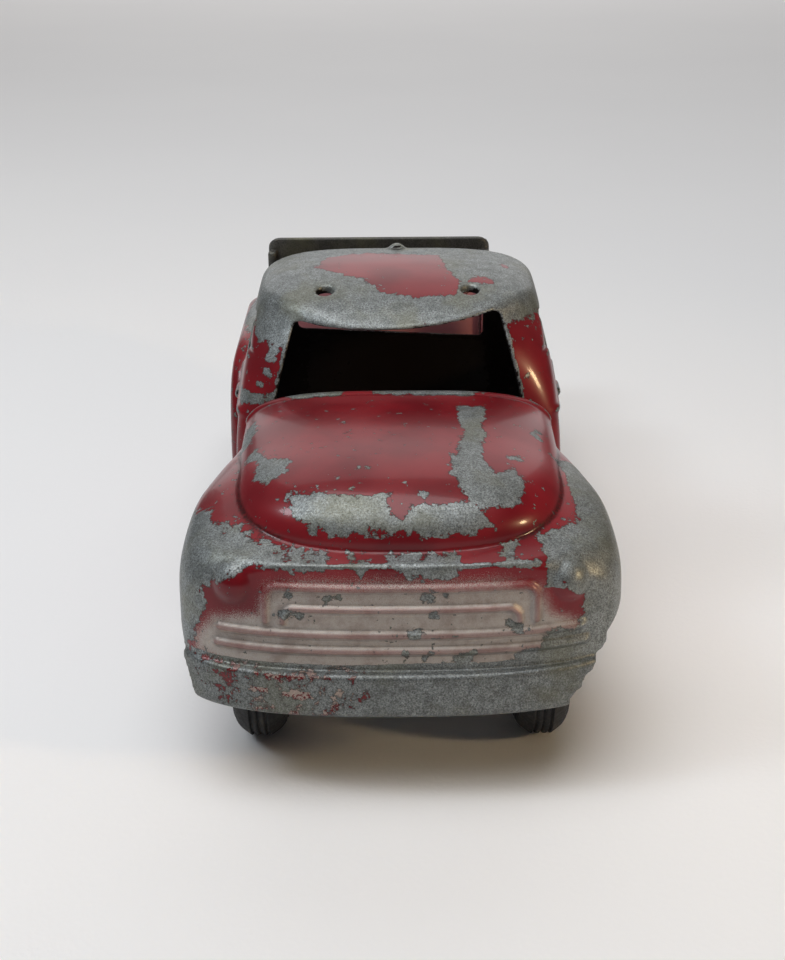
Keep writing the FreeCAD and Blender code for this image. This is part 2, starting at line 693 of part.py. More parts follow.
def bed_ears():
    """Two ears under the bed's floor, bored to turn on the pivot pin."""
    ears = []
    for side in (-1, 1):
        outer = BED_OFFSET + side * BED_EAR_HALF_SPAN
        x_range = (min(outer, outer - side * SHEET), max(outer, outer - side * SHEET))
        points = (
            (PIVOT_DEPTH - PIVOT_EYE_RADIUS, PIVOT_HEIGHT),
            (PIVOT_DEPTH - PIVOT_EYE_RADIUS, BED_EAR_NECK),
            (PIVOT_DEPTH - BED_EAR_FRONT, BED_FLOOR + SHEET / 2),
            (PIVOT_DEPTH + BED_EAR_REAR, BED_FLOOR + SHEET / 2),
            (PIVOT_DEPTH + PIVOT_EYE_RADIUS, PIVOT_HEIGHT),
        )
        ears.append(eye_plate(x_range, points, PIVOT_EYE_RADIUS))
    return ears


def dump_bed():
    """Pressed steel: floor, tall headboard with folded edges, and two beaded sides."""
    low = BED_OFFSET - BED_HALF_WIDTH
    high = BED_OFFSET + BED_HALF_WIDTH
    floor = block((low, high), (BED_FRONT, BED_FLOOR_REAR), (BED_FLOOR, BED_FLOOR + SHEET))
    head = block((low, high), (BED_FRONT, BED_FRONT + SHEET), (BED_FLOOR, BED_HEAD_TOP))
    top_corners = [
        edge for edge in head.Edges
        if abs(edge.Length - SHEET) < TOLERANCE and edge.BoundBox.ZMin > BED_HEAD_TOP - TOLERANCE
    ]
    head = head.makeFillet(BED_HEAD_CORNER, top_corners)
    sides = []
    for x in (low, high - SHEET):
        outline = (
            (BED_FRONT, BED_FLOOR),
            (BED_REAR, BED_FLOOR),
            (BED_REAR, BED_SIDE_TOP),
            (BED_FRONT + BED_SIDE_RUN, BED_SIDE_TOP),
            (BED_FRONT + SHEET, BED_SIDE_START),
            (BED_FRONT, BED_SIDE_START),
        )
        sides.append(side_view(outline, (x, x + SHEET)))
    fold = (BED_FRONT - SHEET, BED_FRONT)
    flanges = [
        block((x, x + BED_FLANGE), fold, (BED_FLOOR, BED_HEAD_TOP - BED_HEAD_CORNER))
        for x in (low, high - BED_FLANGE)
    ]
    beads = [
        Part.makeCylinder(
            BED_BEAD, BED_REAR - BED_FRONT - BED_SIDE_RUN,
            Vector(x, at(BED_FRONT + BED_SIDE_RUN), BED_SIDE_TOP), Vector(0, 1, 0)
        )
        for x in (low + SHEET / 2, high - SHEET / 2)
    ]
    bed = floor.fuse([head] + sides + flanges + beads + bed_ears())
    pin_hole = rod_across(PIVOT_PIN_RADIUS + RUNNING_CLEARANCE, ACROSS, PIVOT_DEPTH, PIVOT_HEIGHT)
    gate_hole = rod_across(GATE_PIN_RADIUS, ACROSS, GATE_DEPTH, GATE_PIN_HEIGHT)
    return bed.cut([pin_hole, gate_hole])


def tailgate():
    """A flat gate that hangs from an eye rolled along its top edge."""
    low = BED_OFFSET - BED_HALF_WIDTH + SHEET + GATE_GAP
    high = BED_OFFSET + BED_HALF_WIDTH - SHEET - GATE_GAP
    thick = (GATE_DEPTH - SHEET / 2, GATE_DEPTH + SHEET / 2)
    panel = block((low, high), thick, (BED_FLOOR, GATE_PIN_HEIGHT))
    eye = rod_across(GATE_EYE_RADIUS, (low, high), GATE_DEPTH, GATE_PIN_HEIGHT)
    lip = block((low, high), (GATE_DEPTH, GATE_DEPTH + GATE_LIP), (BED_FLOOR, BED_FLOOR + SHEET))
    bore = rod_across(GATE_PIN_RADIUS + RUNNING_CLEARANCE, ACROSS, GATE_DEPTH, GATE_PIN_HEIGHT)
    return panel.fuse([eye, lip]).cut(bore)


def tailgate_pin():
    low = BED_OFFSET - BED_HALF_WIDTH - GATE_PIN_PROUD
    high = BED_OFFSET + BED_HALF_WIDTH + GATE_PIN_PROUD
    return rod_across(GATE_PIN_RADIUS, (low, high), GATE_DEPTH, GATE_PIN_HEIGHT)


def hinge_bracket(side):
    """A steel angle on the deck's rear corner, with an eye for the pivot pin."""
    inner = side * BRACKET_FACE
    outer = inner + side * SHEET
    x_range = (min(inner, outer), max(inner, outer))
    web_top = BED_FLOOR - BRACKET_TOP_GAP
    points = (
        (BRACKET_FRONT, DECK_TOP),
        (BRACKET_FRONT, web_top),
        (PIVOT_DEPTH, web_top),
        (PIVOT_DEPTH + PIVOT_EYE_RADIUS, PIVOT_HEIGHT),
        (PIVOT_DEPTH - PIVOT_EYE_RADIUS, PIVOT_HEIGHT),
        (DECK_REAR, DECK_TOP),
    )
    web = eye_plate(x_range, points, PIVOT_EYE_RADIUS)
    foot_x = (min(inner, inner + side * BRACKET_FOOT), max(inner, inner + side * BRACKET_FOOT))
    foot = block(foot_x, (BRACKET_FRONT, DECK_REAR), (DECK_TOP, DECK_TOP + SHEET))
    pin_hole = rod_across(PIVOT_PIN_RADIUS, ACROSS, PIVOT_DEPTH, PIVOT_HEIGHT)
    bracket = web.fuse(foot).removeSplitter().cut(pin_hole)
    return bracket.cut(rivet_holes(bracket_rivet_places(side), (DECK_TOP - WALL, DECK_TOP + WALL)))


def bracket_rivet_places(side):
    middle = BRACKET_FACE + (BRACKET_FOOT + SHEET) / 2
    front, rear = BRACKET_RIVET_ENDS
    return ((side * middle, BRACKET_FRONT + front), (side * middle, DECK_REAR - rear))


def bracket_rivets():
    """Four rivets that hold the two hinge brackets down on the deck."""
    made = []
    for x, depth in bracket_rivet_places(-1) + bracket_rivet_places(1):
        shank = rod_up(RIVET_RADIUS, x, depth, (DECK_TOP - WALL, DECK_TOP + SHEET))
        head = rod_up(BRACKET_RIVET_HEAD, x, depth, (DECK_TOP + SHEET, DECK_TOP + SHEET + RIVET_HEAD))
        made.append(shank.fuse(head).removeSplitter())
    return Part.makeCompound(made)


def pivot_pin():
    """The pin that the bed tips on, with a head at each end."""
    reach = BRACKET_FACE + SHEET
    pin = rod_across(PIVOT_PIN_RADIUS, (-reach, reach), PIVOT_DEPTH, PIVOT_HEIGHT)
    heads = [
        rod_across(PIVOT_HEAD_RADIUS, x_range, PIVOT_DEPTH, PIVOT_HEIGHT)
        for x_range in ((-reach - RIVET_HEAD, -reach), (reach, reach + RIVET_HEAD))
    ]
    return pin.fuse(heads).removeSplitter()


def write(name, shape):
    """Writes one sub-part, and says what it is if it isn't a whole solid."""
    if not shape.isValid():
        print(name, "is not valid")
    shape.exportStep(os.path.join("parts", name + ".step"))
    print(f"{name}: {len(shape.Solids)} solid(s), {shape.Volume:.0f} mm3")


def main():
    os.makedirs("parts", exist_ok=True)
    plate_top = UNDERSIDE + SHEET
    write("front_casting", front_casting())
    write("cab_casting", cab_casting())
    write("rear_casting", rear_casting())
    write("base_plate", base_plate())
    write("base_rivets", rivets(FRONT_POSTS + REAR_POSTS, UNDERSIDE, plate_top + WALL))
    write("cab_rivets", rivets(CAB_POSTS, UNDERSIDE, plate_top + WALL))
    for end, depth in (("front", FRONT_AXLE_DEPTH), ("rear", REAR_AXLE_DEPTH)):
        write(end + "_axle", axle(depth))
        write(end + "_axle_caps", axle_caps(depth))
        for name, side in (("left", 1), ("right", -1)):
            write(f"{end}_{name}_hub", hub(side, depth))
            write(f"{end}_{name}_tyre", tyre(side, depth))
    write("dump_bed", dump_bed())
    write("tailgate", tailgate())
    write("tailgate_pin", tailgate_pin())
    write("bed_pivot_pin", pivot_pin())
    write("bracket_rivets", bracket_rivets())
    write("left_hinge_bracket", hinge_bracket(1))
    write("right_hinge_bracket", hinge_bracket(-1))


main()
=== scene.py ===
"""The looks of a die-cast toy tipper truck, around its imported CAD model.

The castings and the pressed bed are modelled as signed distance fields in millimetres, negative
inside, meshed on a fine grid, and painted by materials that read how worn the enamel is at each
vertex. Depth is measured in millimetres behind the bumper's foremost point, along +Y.
"""
import math

import bpy
import numpy as np
from mathutils import Euler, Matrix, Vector


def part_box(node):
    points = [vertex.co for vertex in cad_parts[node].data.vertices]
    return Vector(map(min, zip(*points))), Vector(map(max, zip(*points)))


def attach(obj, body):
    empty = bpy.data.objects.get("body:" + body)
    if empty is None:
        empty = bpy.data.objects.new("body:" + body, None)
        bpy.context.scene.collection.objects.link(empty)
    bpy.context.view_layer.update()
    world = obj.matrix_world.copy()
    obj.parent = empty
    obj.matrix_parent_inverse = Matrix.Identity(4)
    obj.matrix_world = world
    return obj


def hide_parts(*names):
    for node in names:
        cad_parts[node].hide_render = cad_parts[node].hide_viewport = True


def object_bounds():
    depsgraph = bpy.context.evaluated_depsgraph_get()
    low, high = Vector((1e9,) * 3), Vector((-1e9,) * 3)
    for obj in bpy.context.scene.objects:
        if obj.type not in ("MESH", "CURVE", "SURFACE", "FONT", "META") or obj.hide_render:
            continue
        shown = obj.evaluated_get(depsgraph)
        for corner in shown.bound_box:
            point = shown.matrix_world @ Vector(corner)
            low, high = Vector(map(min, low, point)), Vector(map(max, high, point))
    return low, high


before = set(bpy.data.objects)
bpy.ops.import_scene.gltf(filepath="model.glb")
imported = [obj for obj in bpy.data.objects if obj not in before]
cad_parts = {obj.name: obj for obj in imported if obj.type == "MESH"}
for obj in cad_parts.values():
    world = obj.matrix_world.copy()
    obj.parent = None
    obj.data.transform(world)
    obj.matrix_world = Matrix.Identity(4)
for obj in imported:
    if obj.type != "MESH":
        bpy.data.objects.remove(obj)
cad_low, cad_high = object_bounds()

MM = 0.001
FRONT = cad_low.y / MM  # Y of the bumper's front, in mm
GRID = 0.5  # spacing of the meshing grid, in mm


def box_mm(node):
    """A CAD node's box as two arrays of (x, depth, z), in mm."""
    low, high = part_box(node)
    shift = np.array((0.0, FRONT, 0.0))
    return np.array(low) / MM - shift, np.array(high) / MM - shift


def centre_mm(node):
    """The middle of a CAD node's box as (x, depth, z), in mm."""
    low, high = box_mm(node)
    return (low + high) / 2


FRONT_AXLE = centre_mm("front_axle")
REAR_AXLE = centre_mm("rear_axle")
COWL = box_mm("front_casting")[1][1]
UNDERSIDE = box_mm("front_casting")[0][2]
CAB_FRONT, CAB_REAR = box_mm("cab_casting")[0][1], box_mm("cab_casting")[1][1]
WALL = 2.0  # thickness of the castings' walls
ARCH_RADIUS = 17.5  # wheel arches, about the axles


# ---- Distance fields ----
def join(a, b, radius):
    """The union of two fields, with a fillet."""
    fillet = np.hypot(np.maximum(radius - a, 0), np.maximum(radius - b, 0))
    return np.maximum(radius, np.minimum(a, b)) - fillet


def meet(a, b, radius):
    """The intersection of two fields, with a rounded edge."""
    return -join(-a, -b, radius)


def carve(a, b, radius):
    """a without b, with a rounded edge."""
    return meet(a, -b, radius)


def cuboid(p, low, high, radius=0.0):
    """A box with rounded edges."""
    q = [np.abs(p[i] - (low[i] + high[i]) / 2) - (high[i] - low[i]) / 2 + radius for i in range(3)]
    outside = np.sqrt(sum(np.maximum(v, 0) ** 2 for v in q))
    return outside + np.minimum(np.maximum(np.maximum(q[0], q[1]), q[2]), 0) - radius


def rod(p, axis, centre, radius):
    """An endless cylinder along one axis."""
    a, b = [i for i in range(3) if i != axis]
    return np.hypot(p[a] - centre[a], p[b] - centre[b]) - radius


def ball(p, centre, radius):
    """A sphere."""
    return np.sqrt(sum((p[i] - centre[i]) ** 2 for i in range(3))) - radius


def blend_of(levels, values, at):
    """A smooth curve through values at levels."""
    levels = np.asarray(levels, float)
    values = np.asarray(values, float)
    slopes = np.gradient(values, levels)
    at = np.clip(at, levels[0], levels[-1])
    i = np.clip(np.searchsorted(levels, at) - 1, 0, len(levels) - 2)
    span = levels[i + 1] - levels[i]
    t = (at - levels[i]) / span
    return (
        (2 * t**3 - 3 * t**2 + 1) * values[i]
        + (t**3 - 2 * t**2 + t) * span * slopes[i]
        + (3 * t**2 - 2 * t**3) * values[i + 1]
        + (t**3 - t**2) * span * slopes[i + 1]
    )


def blunt(a, b, power):
    """A superellipse: 1 on its outline, squarer as power grows."""
    return (a**power + b**power) ** (1 / power)


def distance(g, step=GRID):
    """An implicit shape's field, scaled to be close to a true distance."""
    slope = np.sqrt(sum(d**2 for d in np.gradient(g, step)))
    return g / np.maximum(slope, 1e-4)


def ridge(d, half):
    """1 on a line and 0 from half away, rounded between."""
    return np.clip(1 - (d / half) ** 2, 0, 1)


def round_frame(u, v, low, high, radius):
    """Distance from a rounded rectangle's outline."""
    centre = [(low[i] + high[i]) / 2 for i in range(2)]
    half = [(high[i] - low[i]) / 2 for i in range(2)]
    a = np.abs(u - centre[0]) - half[0] + radius
    b = np.abs(v - centre[1]) - half[1] + radius
    inside = np.minimum(np.maximum(a, b), 0)
    return np.abs(np.hypot(np.maximum(a, 0), np.maximum(b, 0)) + inside - radius)


# ---- Meshing ----
def grid_over(low, high, step):
    """Coordinates (x, depth, z) of a grid, as three arrays that broadcast together."""
    axes = [np.arange(low[i] - 2 * step, high[i] + 3 * step, step) for i in range(3)]
    shapes = ((-1, 1, 1), (1, -1, 1), (1, 1, -1))
    return [axes[i].reshape(shapes[i]) for i in range(3)]


def surface(f, p, step):
    """Vertices and quads where the field changes sign, one vertex to a cell."""
    cells = tuple(n - 1 for n in f.shape)
    total = np.zeros(cells + (3,), np.float32)
    count = np.zeros(cells, np.int16)
    crossings = []
    for axis in range(3):
        a = np.take(f, range(f.shape[axis] - 1), axis)
        b = np.take(f, range(1, f.shape[axis]), axis)
        cross = (a < 0) != (b < 0)
        t = np.where(cross, a / np.where(cross, a - b, 1), 0)
        crossings.append((cross, a < 0))
        i, j = [k for k in range(3) if k != axis]
        for up_i, up_j in np.ndindex(2, 2):
            cut = [slice(None)] * 3
            cut[i] = slice(up_i, up_i + cells[i])
            cut[j] = slice(up_j, up_j + cells[j])
            hit = cross[tuple(cut)]
            total[..., axis] += t[tuple(cut)]
            total[..., i] += hit * up_i
            total[..., j] += hit * up_j
            count += hit
    used = count > 0
    index = np.full(cells, -1, np.int64)
    index[used] = np.arange(used.sum())
    corner = np.argwhere(used)
    origin = np.array([axis.flat[0] for axis in p])
    verts = origin + step * (corner + total[used] / count[used][:, None])
    quads = []
    for axis, (cross, starts_inside) in enumerate(crossings):
        i, j = [k for k in range(3) if k != axis]
        edges = np.argwhere(cross)
        for k in (i, j):
            edges = edges[(edges[:, k] > 0) & (edges[:, k] < cells[k])]
        around = []
        for back_i, back_j in ((1, 1), (0, 1), (0, 0), (1, 0)):
            cell = edges.copy()
            cell[:, i] -= back_i
            cell[:, j] -= back_j
            around.append(index[tuple(cell.T)])
        quad = np.stack(around, 1)
        turned = starts_inside[tuple(edges.T)] == (axis == 1)
        quad[turned] = quad[turned][:, ::-1]
        quads.append(quad)
    return verts, np.concatenate(quads)


def sample(f, p, points, step):
    """A field's value at points, by trilinear interpolation."""
    origin = np.array([axis.flat[0] for axis in p])
    at = (points - origin) / step
    low = np.clip(np.floor(at).astype(int), 0, np.array(f.shape) - 2)
    t = at - low
    value = np.zeros(len(points))
    for corner in np.ndindex(2, 2, 2):
        weight = np.prod([t[:, i] if corner[i] else 1 - t[:, i] for i in range(3)], axis=0)
        value += weight * f[tuple((low + corner).T)]
    return value


def settle(f, p, points, step, rounds=3):
    """Moves points onto the field's surface, and gives its normals there."""
    reach = step * 0.5
    for turn in range(rounds + 1):
        slope = np.stack([
            sample(f, p, points + reach * axis, step) - sample(f, p, points - reach * axis, step)
            for axis in np.eye(3)
        ], 1) / (2 * reach)
        size = np.maximum(np.linalg.norm(slope, axis=1, keepdims=True), 1e-3)
        if turn < rounds:
            value = sample(f, p, points, step)[:, None]
            points = points - np.clip(value / size, -reach, reach) * slope / size
    return points, slope / size


def in_scene(name, data):
    """A new object, linked to the scene."""
    obj = bpy.data.objects.new(name, data)
    bpy.context.scene.collection.objects.link(obj)
    return obj


def mesh_object(name, verts, faces, normals=None):
    """A mesh object from (x, depth, z) vertices in mm."""
    world = (np.asarray(verts, float) + (0.0, FRONT, 0.0)) * MM
    mesh = bpy.data.meshes.new(name)
    mesh.vertices.add(len(world))
    mesh.vertices.foreach_set("co", world.astype(np.float32).ravel())
    faces = np.asarray(faces, np.int32)
    mesh.loops.add(faces.size)
    mesh.loops.foreach_set("vertex_index", faces.ravel())
    mesh.polygons.add(len(faces))
    mesh.polygons.foreach_set("loop_start", np.arange(0, faces.size, faces.shape[1], dtype=np.int32))
    mesh.update(calc_edges=True)
    mesh.validate()
    mesh.polygons.foreach_set("use_smooth", np.ones(len(mesh.polygons), bool))
    if normals is not None and len(normals) == len(mesh.vertices):
        mesh.normals_split_custom_set_from_vertices(normals.tolist())
    return in_scene(name, mesh)


def attribute(obj, name, values):
    """Stores one number for each vertex, which the materials read."""
    layer = obj.data.attributes.new(name, "FLOAT", "POINT")
    layer.data.foreach_set("value", np.asarray(values, np.float32))


def bulge(f, p, verts, reach, step):
    """How sharply the surface is rounded outwards, per mm, at each vertex."""
    total = -6 * sample(f, p, verts, step)
    for axis in np.eye(3):
        for sign in (-1, 1):
            total += sample(f, p, verts + sign * reach * axis, step)
    return total / reach**2


# ---- Front casting ----
WING_HALF = 40.4  # half the width over the bumper
NOSE_SWEEP = 17.0  # how far the front's ends sweep back
NOSE_POWER = 2.6  # how square the sweep is
BUMPER_TOP = 25.7
BUMPER_REACH = 12.0  # how far back the bumper's bar goes
WING_SPRING = 32.0  # where the wings' tops start to round over
WING_POWER = 3.6
BONNET_START, BONNET_NOSE = 34.0, 26.0  # where its straight sides start, and its nose's length
BONNET_FOOT = 45.4
LAMP = (28.6, 9.6, 40.0)
LAMP_RADIUS = 4.5
GRILLE_FOOT, GRILLE_KNEE = 30.0, 34.6  # foot of the arches' frames, and where the arches end
GRILLE_BARS = ((29.5, 32.6), (32.5, 32.0))  # height and half length
GRILLE_ARCHES = ((37.2, 20.6), (41.0, 23.6))  # top and half width
GRILLE_BACK = 11.0  # the grille's lines fade out behind this depth
COWL_BEAD = 1.6  # from the casting's rear edge to its bead
BREAK_LOW = (29.4, 17.3)  # (x, z) of the break at the bumper's foot
BREAK_HIGH = (36.7, 29.3)  # (x, z) where the break turns out over the wing


def nose_plan(p, start, half):
    """The front seen from above: a swept curve and straight sides."""
    across = np.abs(p[0]) / half
    back = np.maximum(start + NOSE_SWEEP - p[1], 0) / NOSE_SWEEP
    return blunt(across, back, NOSE_POWER) - 1


def wing_block(p):
    """Both wings and the front between them, as one solid."""
    depth = p[1]
    half = blend_of((-4, 28, 40, 52, 60), (41.5, 40.9, 38.0, 34.8, 33.3), depth)
    crest = blend_of((-4, 5, 10, 16, 22, 30, 40, 52, 60),
                     (44.4, 45.2, 46.4, 48.4, 50.4, 52.4, 53.2, 53.0, 52.6), depth)
    across = np.abs(p[0]) / half
    up = np.maximum(p[2] - WING_SPRING, 0) / (crest - WING_SPRING)
    arch = distance(blunt(across, up, WING_POWER) - 1)
    lean = blend_of((17, 26, 44, 47), (1.9, 2.1, 4.1, 4.6), p[2])
    plan = distance(nose_plan(p, lean, WING_HALF + 1.4) + 0 * p[2])
    soft = blend_of((0, 22, 31, 40), (0.7, 0.9, 3.2, 6.0), np.abs(p[0]))
    return meet(arch, plan, soft)


def bonnet_block(p):
    """The bonnet, as a solid that reaches down into the wings."""
    across = np.abs(p[0]) / blend_of((0, 34, 60), (31.0, 31.0, 31.2), p[1])
    back = np.maximum(BONNET_START - p[1], 0) / BONNET_NOSE
    crest = blend_of((0, 34, 45, 60), (57.0, 57.2, 57.4, 56.4), p[1])
    up = np.maximum(p[2] - BONNET_FOOT, 0) / (crest - BONNET_FOOT)
    plan = blunt(across, back, 2.7)
    power = blend_of((8, 30, 60), (2.4, 2.6, 3.6), p[1])
    return distance(blunt(plan, up, power) - 1)


def grille_line(p):
    """How far each place is from the grille's raised lines, seen from the front."""
    x, z = np.abs(p[0]), p[2]
    lines = []
    for height, half in GRILLE_BARS:
        lines.append(np.hypot(np.maximum(x - half, 0), z - height))
    for top, half in GRILLE_ARCHES:
        arch = round_frame(x, z, (-half, GRILLE_FOOT), (half, top), 2.2)
        lines.append(np.where(z < GRILLE_KNEE, np.hypot(x - half, z - GRILLE_KNEE), arch))
    return np.minimum.reduce([line + 0 * p[0] * p[2] for line in lines])


def broken_corner(p):
    """What has broken off the +X end of the bumper and the wing above it; negative inside."""
    x, depth, z = p
    ragged = 0.35 * np.sin(1.9 * z) + 0.2 * np.sin(4.3 * z + 1)
    bumper_end = (BREAK_LOW[0] + 0.69 * (z - BREAK_LOW[1]) + ragged - x) / 1.2
    wing_foot = np.maximum((z - BREAK_HIGH[1] - 1.03 * (x - BREAK_HIGH[0])) / 1.4, BREAK_HIGH[0] - x)
    lost = np.minimum(np.maximum(bumper_end, z - BREAK_HIGH[1]), wing_foot)
    return np.maximum(lost, depth - 18.0)


def front_field(p):
    """The front casting: bumper, grille, wings, headlamps and bonnet."""
    x, depth, z = p
    everywhere = 0 * x * depth * z
    body = join(wing_block(p), bonnet_block(p), 0.3)
    inside = body + WALL
    bar = distance(nose_plan(p, 0.0, WING_HALF) + everywhere)
    bar_middle, bar_half = (BUMPER_TOP + UNDERSIDE) / 2, (BUMPER_TOP - UNDERSIDE) / 2
    bar = meet(bar, np.abs(z - bar_middle) - bar_half, 1.1)
    bar = meet(bar, depth - BUMPER_REACH, 1.6)
    body = body - ridge(depth - (COWL - COWL_BEAD), 1.3) * 0.45 * np.clip(z - 50.0, 0, 1)
    on_grille = np.clip((GRILLE_BACK - depth) / 2, 0, 1) * np.clip(z - 27.0, 0, 1)
    body = body - ridge(grille_line(p), 0.8) * 0.8 * on_grille
    for side in (-1, 1):
        body = join(body, ball(p, (side * LAMP[0], LAMP[1], LAMP[2]), LAMP_RADIUS), 0.25)
    body = join(body, bar, 0.2)
    body = carve(body, inside, 0.3)
    body = carve(body, broken_corner(p), 0.5)
    body = meet(body, UNDERSIDE - z, 0.4)
    body = meet(body, depth - COWL, 0.5)
    return carve(body, rod(p, 0, FRONT_AXLE, ARCH_RADIUS), 0.6)


# ---- Cab casting ----
CAB_HEIGHTS = (17, 46, 55, 63, 70, 80)  # heights at which the cab's plan is given
TAIL = 7.0  # length of the rounding at the cab's rear
ROOF_HALF, ROOF_SPRING, ROOF_POWER = 30.9, 62.0, 4.2
DOOR_LOW, DOOR_HIGH = (65.5, 21.0), (97.0, 49.5)  # (depth, z) corners of the door's outline
BELT = 50.2  # height of the raised line under the windows
SCREEN_TOP, SCREEN_BACK = 69.8, 76.0
SCREEN_SAG = 1.6  # how much the roof's edge dips in the middle
WINDOW_LOW, WINDOW_HIGH, WINDOW_REAR = 52.5, 67.5, 93.0
REAR_WINDOW_HALF, REAR_WINDOW_TOP, REAR_SILL = 20.8, 68.5, 56.6
ROOF_HOLE = (14.9, 74.0)  # distance from the middle, and depth
ROOF_HOLE_RADIUS = 1.75
LUG_TOP, LUG_RADIUS, LUG_LENGTH = 76.1, 2.2, 2.0


def cab_block(p):
    """The cab as a solid, without its openings."""
    x, depth, z = p
    front = blend_of(CAB_HEIGHTS, (60.2, 60.2, 60.2, 60.8, 62.6, 64.4), z)
    half_front = blend_of(CAB_HEIGHTS, (33.4, 33.2, 32.3, 30.9, 29.6, 28.6), z)
    half_rear = blend_of(CAB_HEIGHTS, (36.2, 35.6, 33.4, 31.3, 30.0, 29.0), z)
    run = blend_of(CAB_HEIGHTS, (5, 6, 10, 15, 20, 24), z)
    power = blend_of(CAB_HEIGHTS, (4, 4, 3, 2.4, 2, 2), z)
    along = np.clip((depth - CAB_FRONT) / (CAB_REAR - CAB_FRONT), 0, 1)
    half = half_front + (half_rear - half_front) * along
    across = np.abs(x) / half
    nose = np.maximum(front + run - depth, 0) / run
    tail = np.maximum(depth - (CAB_REAR - TAIL), 0) / TAIL
    plan = np.maximum(blunt(across, nose, power), blunt(across, tail, 3))
    walls = distance(plan - 1)
    roof_half = blend_of((51.5, 61.5), (60.0, ROOF_HALF), z)
    crown = blend_of((55, 62, 68, 76, 86, 96, 104), (66.5, 68.6, 71.6, 74.0, 75.2, 75.2, 75.0), depth)
    up = np.maximum(z - ROOF_SPRING, 0) / (crown - ROOF_SPRING)
    roof = distance(blunt(np.abs(x) / roof_half, up, ROOF_POWER) - 1 + 0 * x * depth)
    return meet(walls, roof, 1.2)


def cab_field(p):
    """The cab casting, with doors, belt line, handles, windows, roof holes and lug."""
    x, depth, z = p
    body = cab_block(p)
    inside = body + WALL
    door = round_frame(depth, z, DOOR_LOW, DOOR_HIGH, 3.0)
    at_side = np.clip((np.abs(x) - 26.0) / 2, 0, 1)
    body = body + ridge(door, 0.5) * 0.45 * at_side
    body = body - ridge(z - BELT, 0.9) * 0.5 * at_side * np.clip((depth - 63.0) / 3, 0, 1)
    handle = cuboid((np.abs(x), depth, z), (33.0, 88.0, 44.4), (36.2, 94.5, 46.2), 0.7)
    body = join(body, handle, 0.4)
    body = carve(body, inside, 0.3)
    half = blend_of((10, 54.6, 69.3, 75), (24.9, 24.7, 20.8, 19.3), z)
    sag = SCREEN_SAG * np.clip(1 - (x / 21.0) ** 2, 0, 1)
    screen = meet(np.abs(x) - half, z - SCREEN_TOP - 0.045 * x + sag, 1.6)
    screen = meet(screen, depth - SCREEN_BACK + 0 * x * z, 0.5)
    body = carve(body, screen, 0.6)
    rake = SCREEN_BACK - (WINDOW_HIGH - z) * 0.3
    along = np.maximum(rake - depth, depth - WINDOW_REAR)
    window = meet(along, np.maximum(WINDOW_LOW - z, z - WINDOW_HIGH), 1.6)
    body = carve(body, window + 0 * x, 0.5)
    sill = REAR_SILL - 0.25 * (depth - 97.0) - 0.05 * x
    upright = np.maximum(sill - z, z - REAR_WINDOW_TOP)
    rear = meet(np.abs(x + 1.5) - REAR_WINDOW_HALF, upright, 1.2)
    body = carve(body, meet(rear, 94.0 - depth, 0.2), 0.5)
    for side in (-1, 1):
        hole = np.hypot(x - side * ROOF_HOLE[0], depth - ROOF_HOLE[1]) - ROOF_HOLE_RADIUS
        body = carve(body, meet(hole, 60.0 - z, 0.1), 0.7)
    lug_end = np.abs(depth - CAB_REAR + LUG_LENGTH / 2) - LUG_LENGTH / 2
    lug = meet(rod(p, 1, (0, 0, LUG_TOP - LUG_RADIUS), LUG_RADIUS), lug_end, 0.4)
    body = join(body, lug, 0.4)
    body = meet(body, UNDERSIDE - z, 0.4)
    return meet(body, CAB_FRONT - depth, 0.5)


# ---- Rear casting ----
REAR_MIDDLE, REAR_REACH = 139.0, 34.0  # depth of the wings' middle, and their half length
REAR_RISE = 33.5  # height of the wings' tops over the underside
REAR_OUT, REAR_IN = 37.8, 28.6  # from the middle to a wing's outer and inner side
SHOULDER, SHOULDER_RISE = 32.0, 20.8  # where the side rounds over, and how high it goes
SHOULDER_POWER = 4.6
DECK_TOP, DECK_HALF, DECK_FOOT = 32.6, 29.0, 23.0


def rear_wing(p, inset, middle):
    """The solid of both rear wings, made smaller by inset."""
    x, depth, z = p
    along = np.abs(depth - REAR_MIDDLE) / (REAR_REACH - inset)
    up = np.maximum(z - UNDERSIDE, 0) / (REAR_RISE - inset)
    hump = distance(blunt(along, up, 2.6) - 1 + 0 * x)
    across = np.abs(x - middle) / (REAR_OUT - inset)
    rise = np.maximum(z - SHOULDER, 0) / (SHOULDER_RISE - inset)
    shoulder = distance(blunt(across, rise, SHOULDER_POWER) - 1 + 0 * depth)
    return meet(meet(hump, shoulder, 2.6 - inset), REAR_IN + inset - np.abs(x - middle), 0.8)


def rear_field(p):
    """The rear casting: a hollow deck between two wings."""
    low, high = box_mm("rear_casting")
    x, _, z = p
    middle = (low[0] + high[0]) / 2
    left, right = middle - DECK_HALF, middle + DECK_HALF
    ceiling = DECK_TOP - WALL
    deck = cuboid(p, (left, low[1], DECK_FOOT), (right, high[1], DECK_TOP), 0.8)
    hollow = cuboid(p, (left + WALL, low[1] + WALL, 0.0), (right - WALL, high[1] - WALL, ceiling), 0.5)
    bead = np.hypot(rod(p, 0, REAR_AXLE, ARCH_RADIUS + 1.0), np.abs(x - middle) - 37.3) - 0.7
    body = join(deck, rear_wing(p, 0.0, middle), 1.2)
    body = carve(body, rear_wing(p, WALL, middle), 0.3)
    body = join(body, meet(bead, UNDERSIDE - z, 0.1), 0.4)
    body = carve(body, hollow, 0.3)
    body = carve(body, rod(p, 0, REAR_AXLE, ceiling - REAR_AXLE[2]), 0.4)
    arch = meet(rod(p, 0, REAR_AXLE, ARCH_RADIUS), 31.0 - np.abs(x - middle), 0.2)
    body = carve(body, arch, 0.5)
    return meet(body, UNDERSIDE - z, 0.4)


